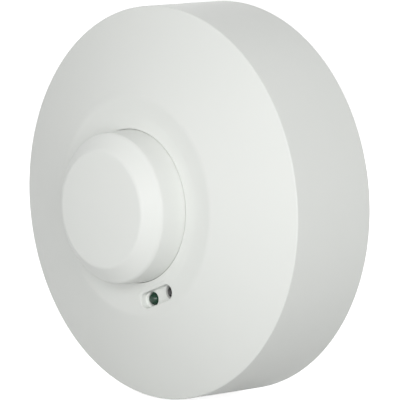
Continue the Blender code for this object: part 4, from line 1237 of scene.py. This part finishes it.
def antenna():
    board, board_size, level = foot("antenna_board")
    radius = board_size.x / 2
    disc = rounded([(0.0, level), (radius, level, 0.1), (radius, board.z, 0.1), (0.0, board.z)], steps=2)
    piece("antenna_circuit_board", lambda bm: turn(bm, disc, board, steps=96), "green_board",
          ["antenna_board"])
    plate, size, top = foot("antenna_plate")
    sheet = top - 0.5

    def patch(bm):
        soft_box(bm, Vector((plate.x, plate.y, sheet)), (size.x, size.y, 0.5), 0.12)
        for x in (-1, 1):
            for y in (-1, 1):
                at = plate + Vector((x, y, 0)) * (size.x / 2 - 0.6)
                box(bm, at, (0.9, 0.5, sheet - plate.z + 0.1), plate.z)
                joint(bm, at, level, 1.0, 0.5)
        feed = [(0.0, top + 0.03), (0.45, top), (0.45, level), (0.0, level)]
        turn(bm, feed, plate + Vector((0, 2.2, 0)), steps=20)

    def corners(bm):
        two_boxes(bm, plate, (size.x / 2, 0), (0.8, 1.4, 2), sheet - 0.5)
    piece("antenna_patch", cut_from(patch, corners), "nickel_brass", ["antenna_plate"])
    can, can_size, _ = foot("oscillator_can")

    def vents(bm):
        for x in (-2.2, 0, 2.2):
            two_boxes(bm, can + Vector((x, 0, 0)), (0, can_size.y / 2), (0.9, 0.5, 0.7), can.z + 0.6)
    cut_box("oscillator_shield", "oscillator_can", "zinc_plated_steel", 0.35, vents, segments=3)
    pins = []
    for side in ("left", "right"):
        at, block, _ = foot(f"antenna_post_{side}")
        pins += [at + Vector((0, k * 1.67, 0)) for k in (-1, 0, 1)]

        def notched(bm, at=at, block=block):
            for k in (-1, 0, 1):
                third = at + Vector((0, k * block.y / 3, 0))
                soft_box(bm, third, (block.x, block.y / 3 - 0.04, block.z), 0.25)
            box(bm, at, (0.6 * block.x, block.y - 0.6, block.z - 0.4), at.z + 0.2)
        piece(f"antenna_support_{side}", notched, "black_plastic", [f"antenna_post_{side}"])
    piece("antenna_joints", lambda bm: [joint(bm, pin, level, 0.55, 0.5) for pin in pins],
          "zinc_plated_steel")


# ---- studio
CAMERA_LENS = 270
CAMERA_PLACE = (0.5499, -0.5331, 0.0910)
CAMERA_AIM = (-0.71935, 0.68431, -0.11957)
AMBIENT = 0.4                       # the room's light on the sensor
SOFTBOX_DISTANCE = 0.6
SOFTBOX_SIDE = 0.3
SOFTBOXES = (                       # azimuth, elevation, watts
    (0, 10, 0.19), (30, 10, 0.99), (60, 10, 1.21), (-70, 60, 0.29), (-120, 30, 0.4), (180, 30, 0.4),
)
FLOOR_REACH = 6.0
FLOOR_CLEARANCE = 0.2 * MM
FLOOR_GLOW = 0.86                   # added to the floor where it is looked at
FLOOR_BOUNCE = 0.6                  # the share of the light that the floor throws back on the sensor


def floor_and_backdrop():
    """A pale floor that shows white, keeps the sensor's soft shadow and throws back little light."""
    mesh = bpy.data.meshes.new("studio_floor")
    height = CAD_BOX[0].z - FLOOR_CLEARANCE
    corners = [(x, y, height) for x, y in rectangle(2 * FLOOR_REACH, 2 * FLOOR_REACH)]
    mesh.from_pydata(corners, [], [(0, 1, 2, 3)])
    paint = Paint("studio floor", 0.9, specular=0.0)
    nodes, links = paint.nodes, paint.links
    paint.shader.inputs["Base Color"].default_value = (0.8, 0.8, 0.8, 1)
    unseen = paint.node("BsdfDiffuse", {"Color": (FLOOR_BOUNCE, FLOOR_BOUNCE, FLOOR_BOUNCE, 1)})
    glow = paint.node("Emission", {"Strength": FLOOR_GLOW})
    total = paint.node("AddShader", {})
    switch = paint.node("MixShader", {}, Fac=seen(nodes, links))
    links.new(paint.shader.outputs["BSDF"], total.inputs[0])
    links.new(glow.outputs["Emission"], total.inputs[1])
    links.new(unseen.outputs["BSDF"], switch.inputs[1])
    links.new(total.outputs["Shader"], switch.inputs[2])
    links.new(switch.outputs["Shader"], nodes["Material Output"].inputs["Surface"])
    mesh.materials.append(paint.material)
    floor = bpy.data.objects.new("studio_floor", mesh)
    bpy.context.scene.collection.objects.link(floor)


def seen(nodes, links):
    """1 for rays that show the background: from the camera, or by way of gloss or glass."""
    path = nodes.new("ShaderNodeLightPath")
    found = path.outputs["Is Camera Ray"]
    for kind in ("Is Glossy Ray", "Is Transmission Ray"):
        either = nodes.new("ShaderNodeMath")
        either.operation = "MAXIMUM"
        links.new(found, either.inputs[0])
        links.new(path.outputs[kind], either.inputs[1])
        found = either.outputs["Value"]
    return found


def sky():
    world = bpy.data.worlds.new("studio")
    bpy.context.scene.world = world
    world.use_nodes = True
    nodes, links = world.node_tree.nodes, world.node_tree.links
    background = nodes["Background"]
    background.inputs["Color"].default_value = (1, 1, 1, 1)
    level = nodes.new("ShaderNodeMapRange")
    level.inputs["To Min"].default_value = AMBIENT
    level.inputs["To Max"].default_value = 1.0
    links.new(seen(nodes, links), level.inputs["Value"])
    links.new(level.outputs["Result"], background.inputs["Strength"])


def softbox(name, azimuth, elevation, power):
    """A square area light aimed at the sensor, azimuth 0 straight in front and positive towards +X."""
    light = bpy.data.lights.new(name, "AREA")
    light.size = SOFTBOX_SIDE
    light.energy = power
    lamp = bpy.data.objects.new(name, light)
    a, e = math.radians(azimuth), math.radians(elevation)
    back = Vector((math.sin(a) * math.cos(e), -math.cos(a) * math.cos(e), math.sin(e)))
    middle = (CAD_BOX[0] + CAD_BOX[1]) / 2
    lamp.location = middle + back * SOFTBOX_DISTANCE
    lamp.rotation_euler = back.to_track_quat("Z", "Y").to_euler()
    lamp.visible_camera = False
    bpy.context.scene.collection.objects.link(lamp)


def camera():
    data = bpy.data.cameras.new("camera")
    data.sensor_width = 36
    data.lens = CAMERA_LENS
    data.clip_start = 0.05
    data.clip_end = 50
    view = bpy.data.objects.new("camera", data)
    view.location = CAMERA_PLACE
    view.rotation_euler = Vector(CAMERA_AIM).to_track_quat("-Z", "Y").to_euler()
    bpy.context.scene.collection.objects.link(view)
    bpy.context.scene.camera = view


bpy.context.scene.view_settings.view_transform = "Standard"
camera()
floor_and_backdrop()
sky()
for azimuth, elevation, power in SOFTBOXES:
    softbox(f"softbox_{azimuth}_{elevation}".replace("-", "m"), azimuth, elevation, power)

front_cover()
cap()
window_parts()
back_plate()
grommet()
screws()
power_board()
board_details("power_board", feet(POWER_SCREWS), 3.4, POWER_PARTS, POWER_LINKS, POWER_CHIPS, POWER_HIGH.z)
terminal_block()
relay()
film_capacitor()
can_capacitor("smoothing_capacitor", 200)
can_capacitor("reservoir_capacitor", 160)
leaded_parts()
inductor()
dual_in_line("bridge_rectifier", "rectifier_body", POWER_HIGH.z, 2, 5.08)
dual_in_line("power_chip", "power_chip_body", POWER_HIGH.z, 4, 2.3)
link_header()
control_board()
board_details("control_board", feet(CONTROL_SCREWS), 3.3, CONTROL_PARTS, CONTROL_LINKS, CONTROL_CHIPS,
              CONTROL_HIGH.z)
dual_in_line("microcontroller", "microcontroller_body", CONTROL_HIGH.z, 6, 1.27, 90)
for dial_name, dial_angle in DIALS:
    trimmer_and_dial(dial_name, dial_angle)
antenna()

for part in frame["record"]["subparts"]:
    node = frame["nodes"][part["node"]]
    node.data.materials.clear()
    node.data.materials.append(FINISHES[part["material_slot"]])
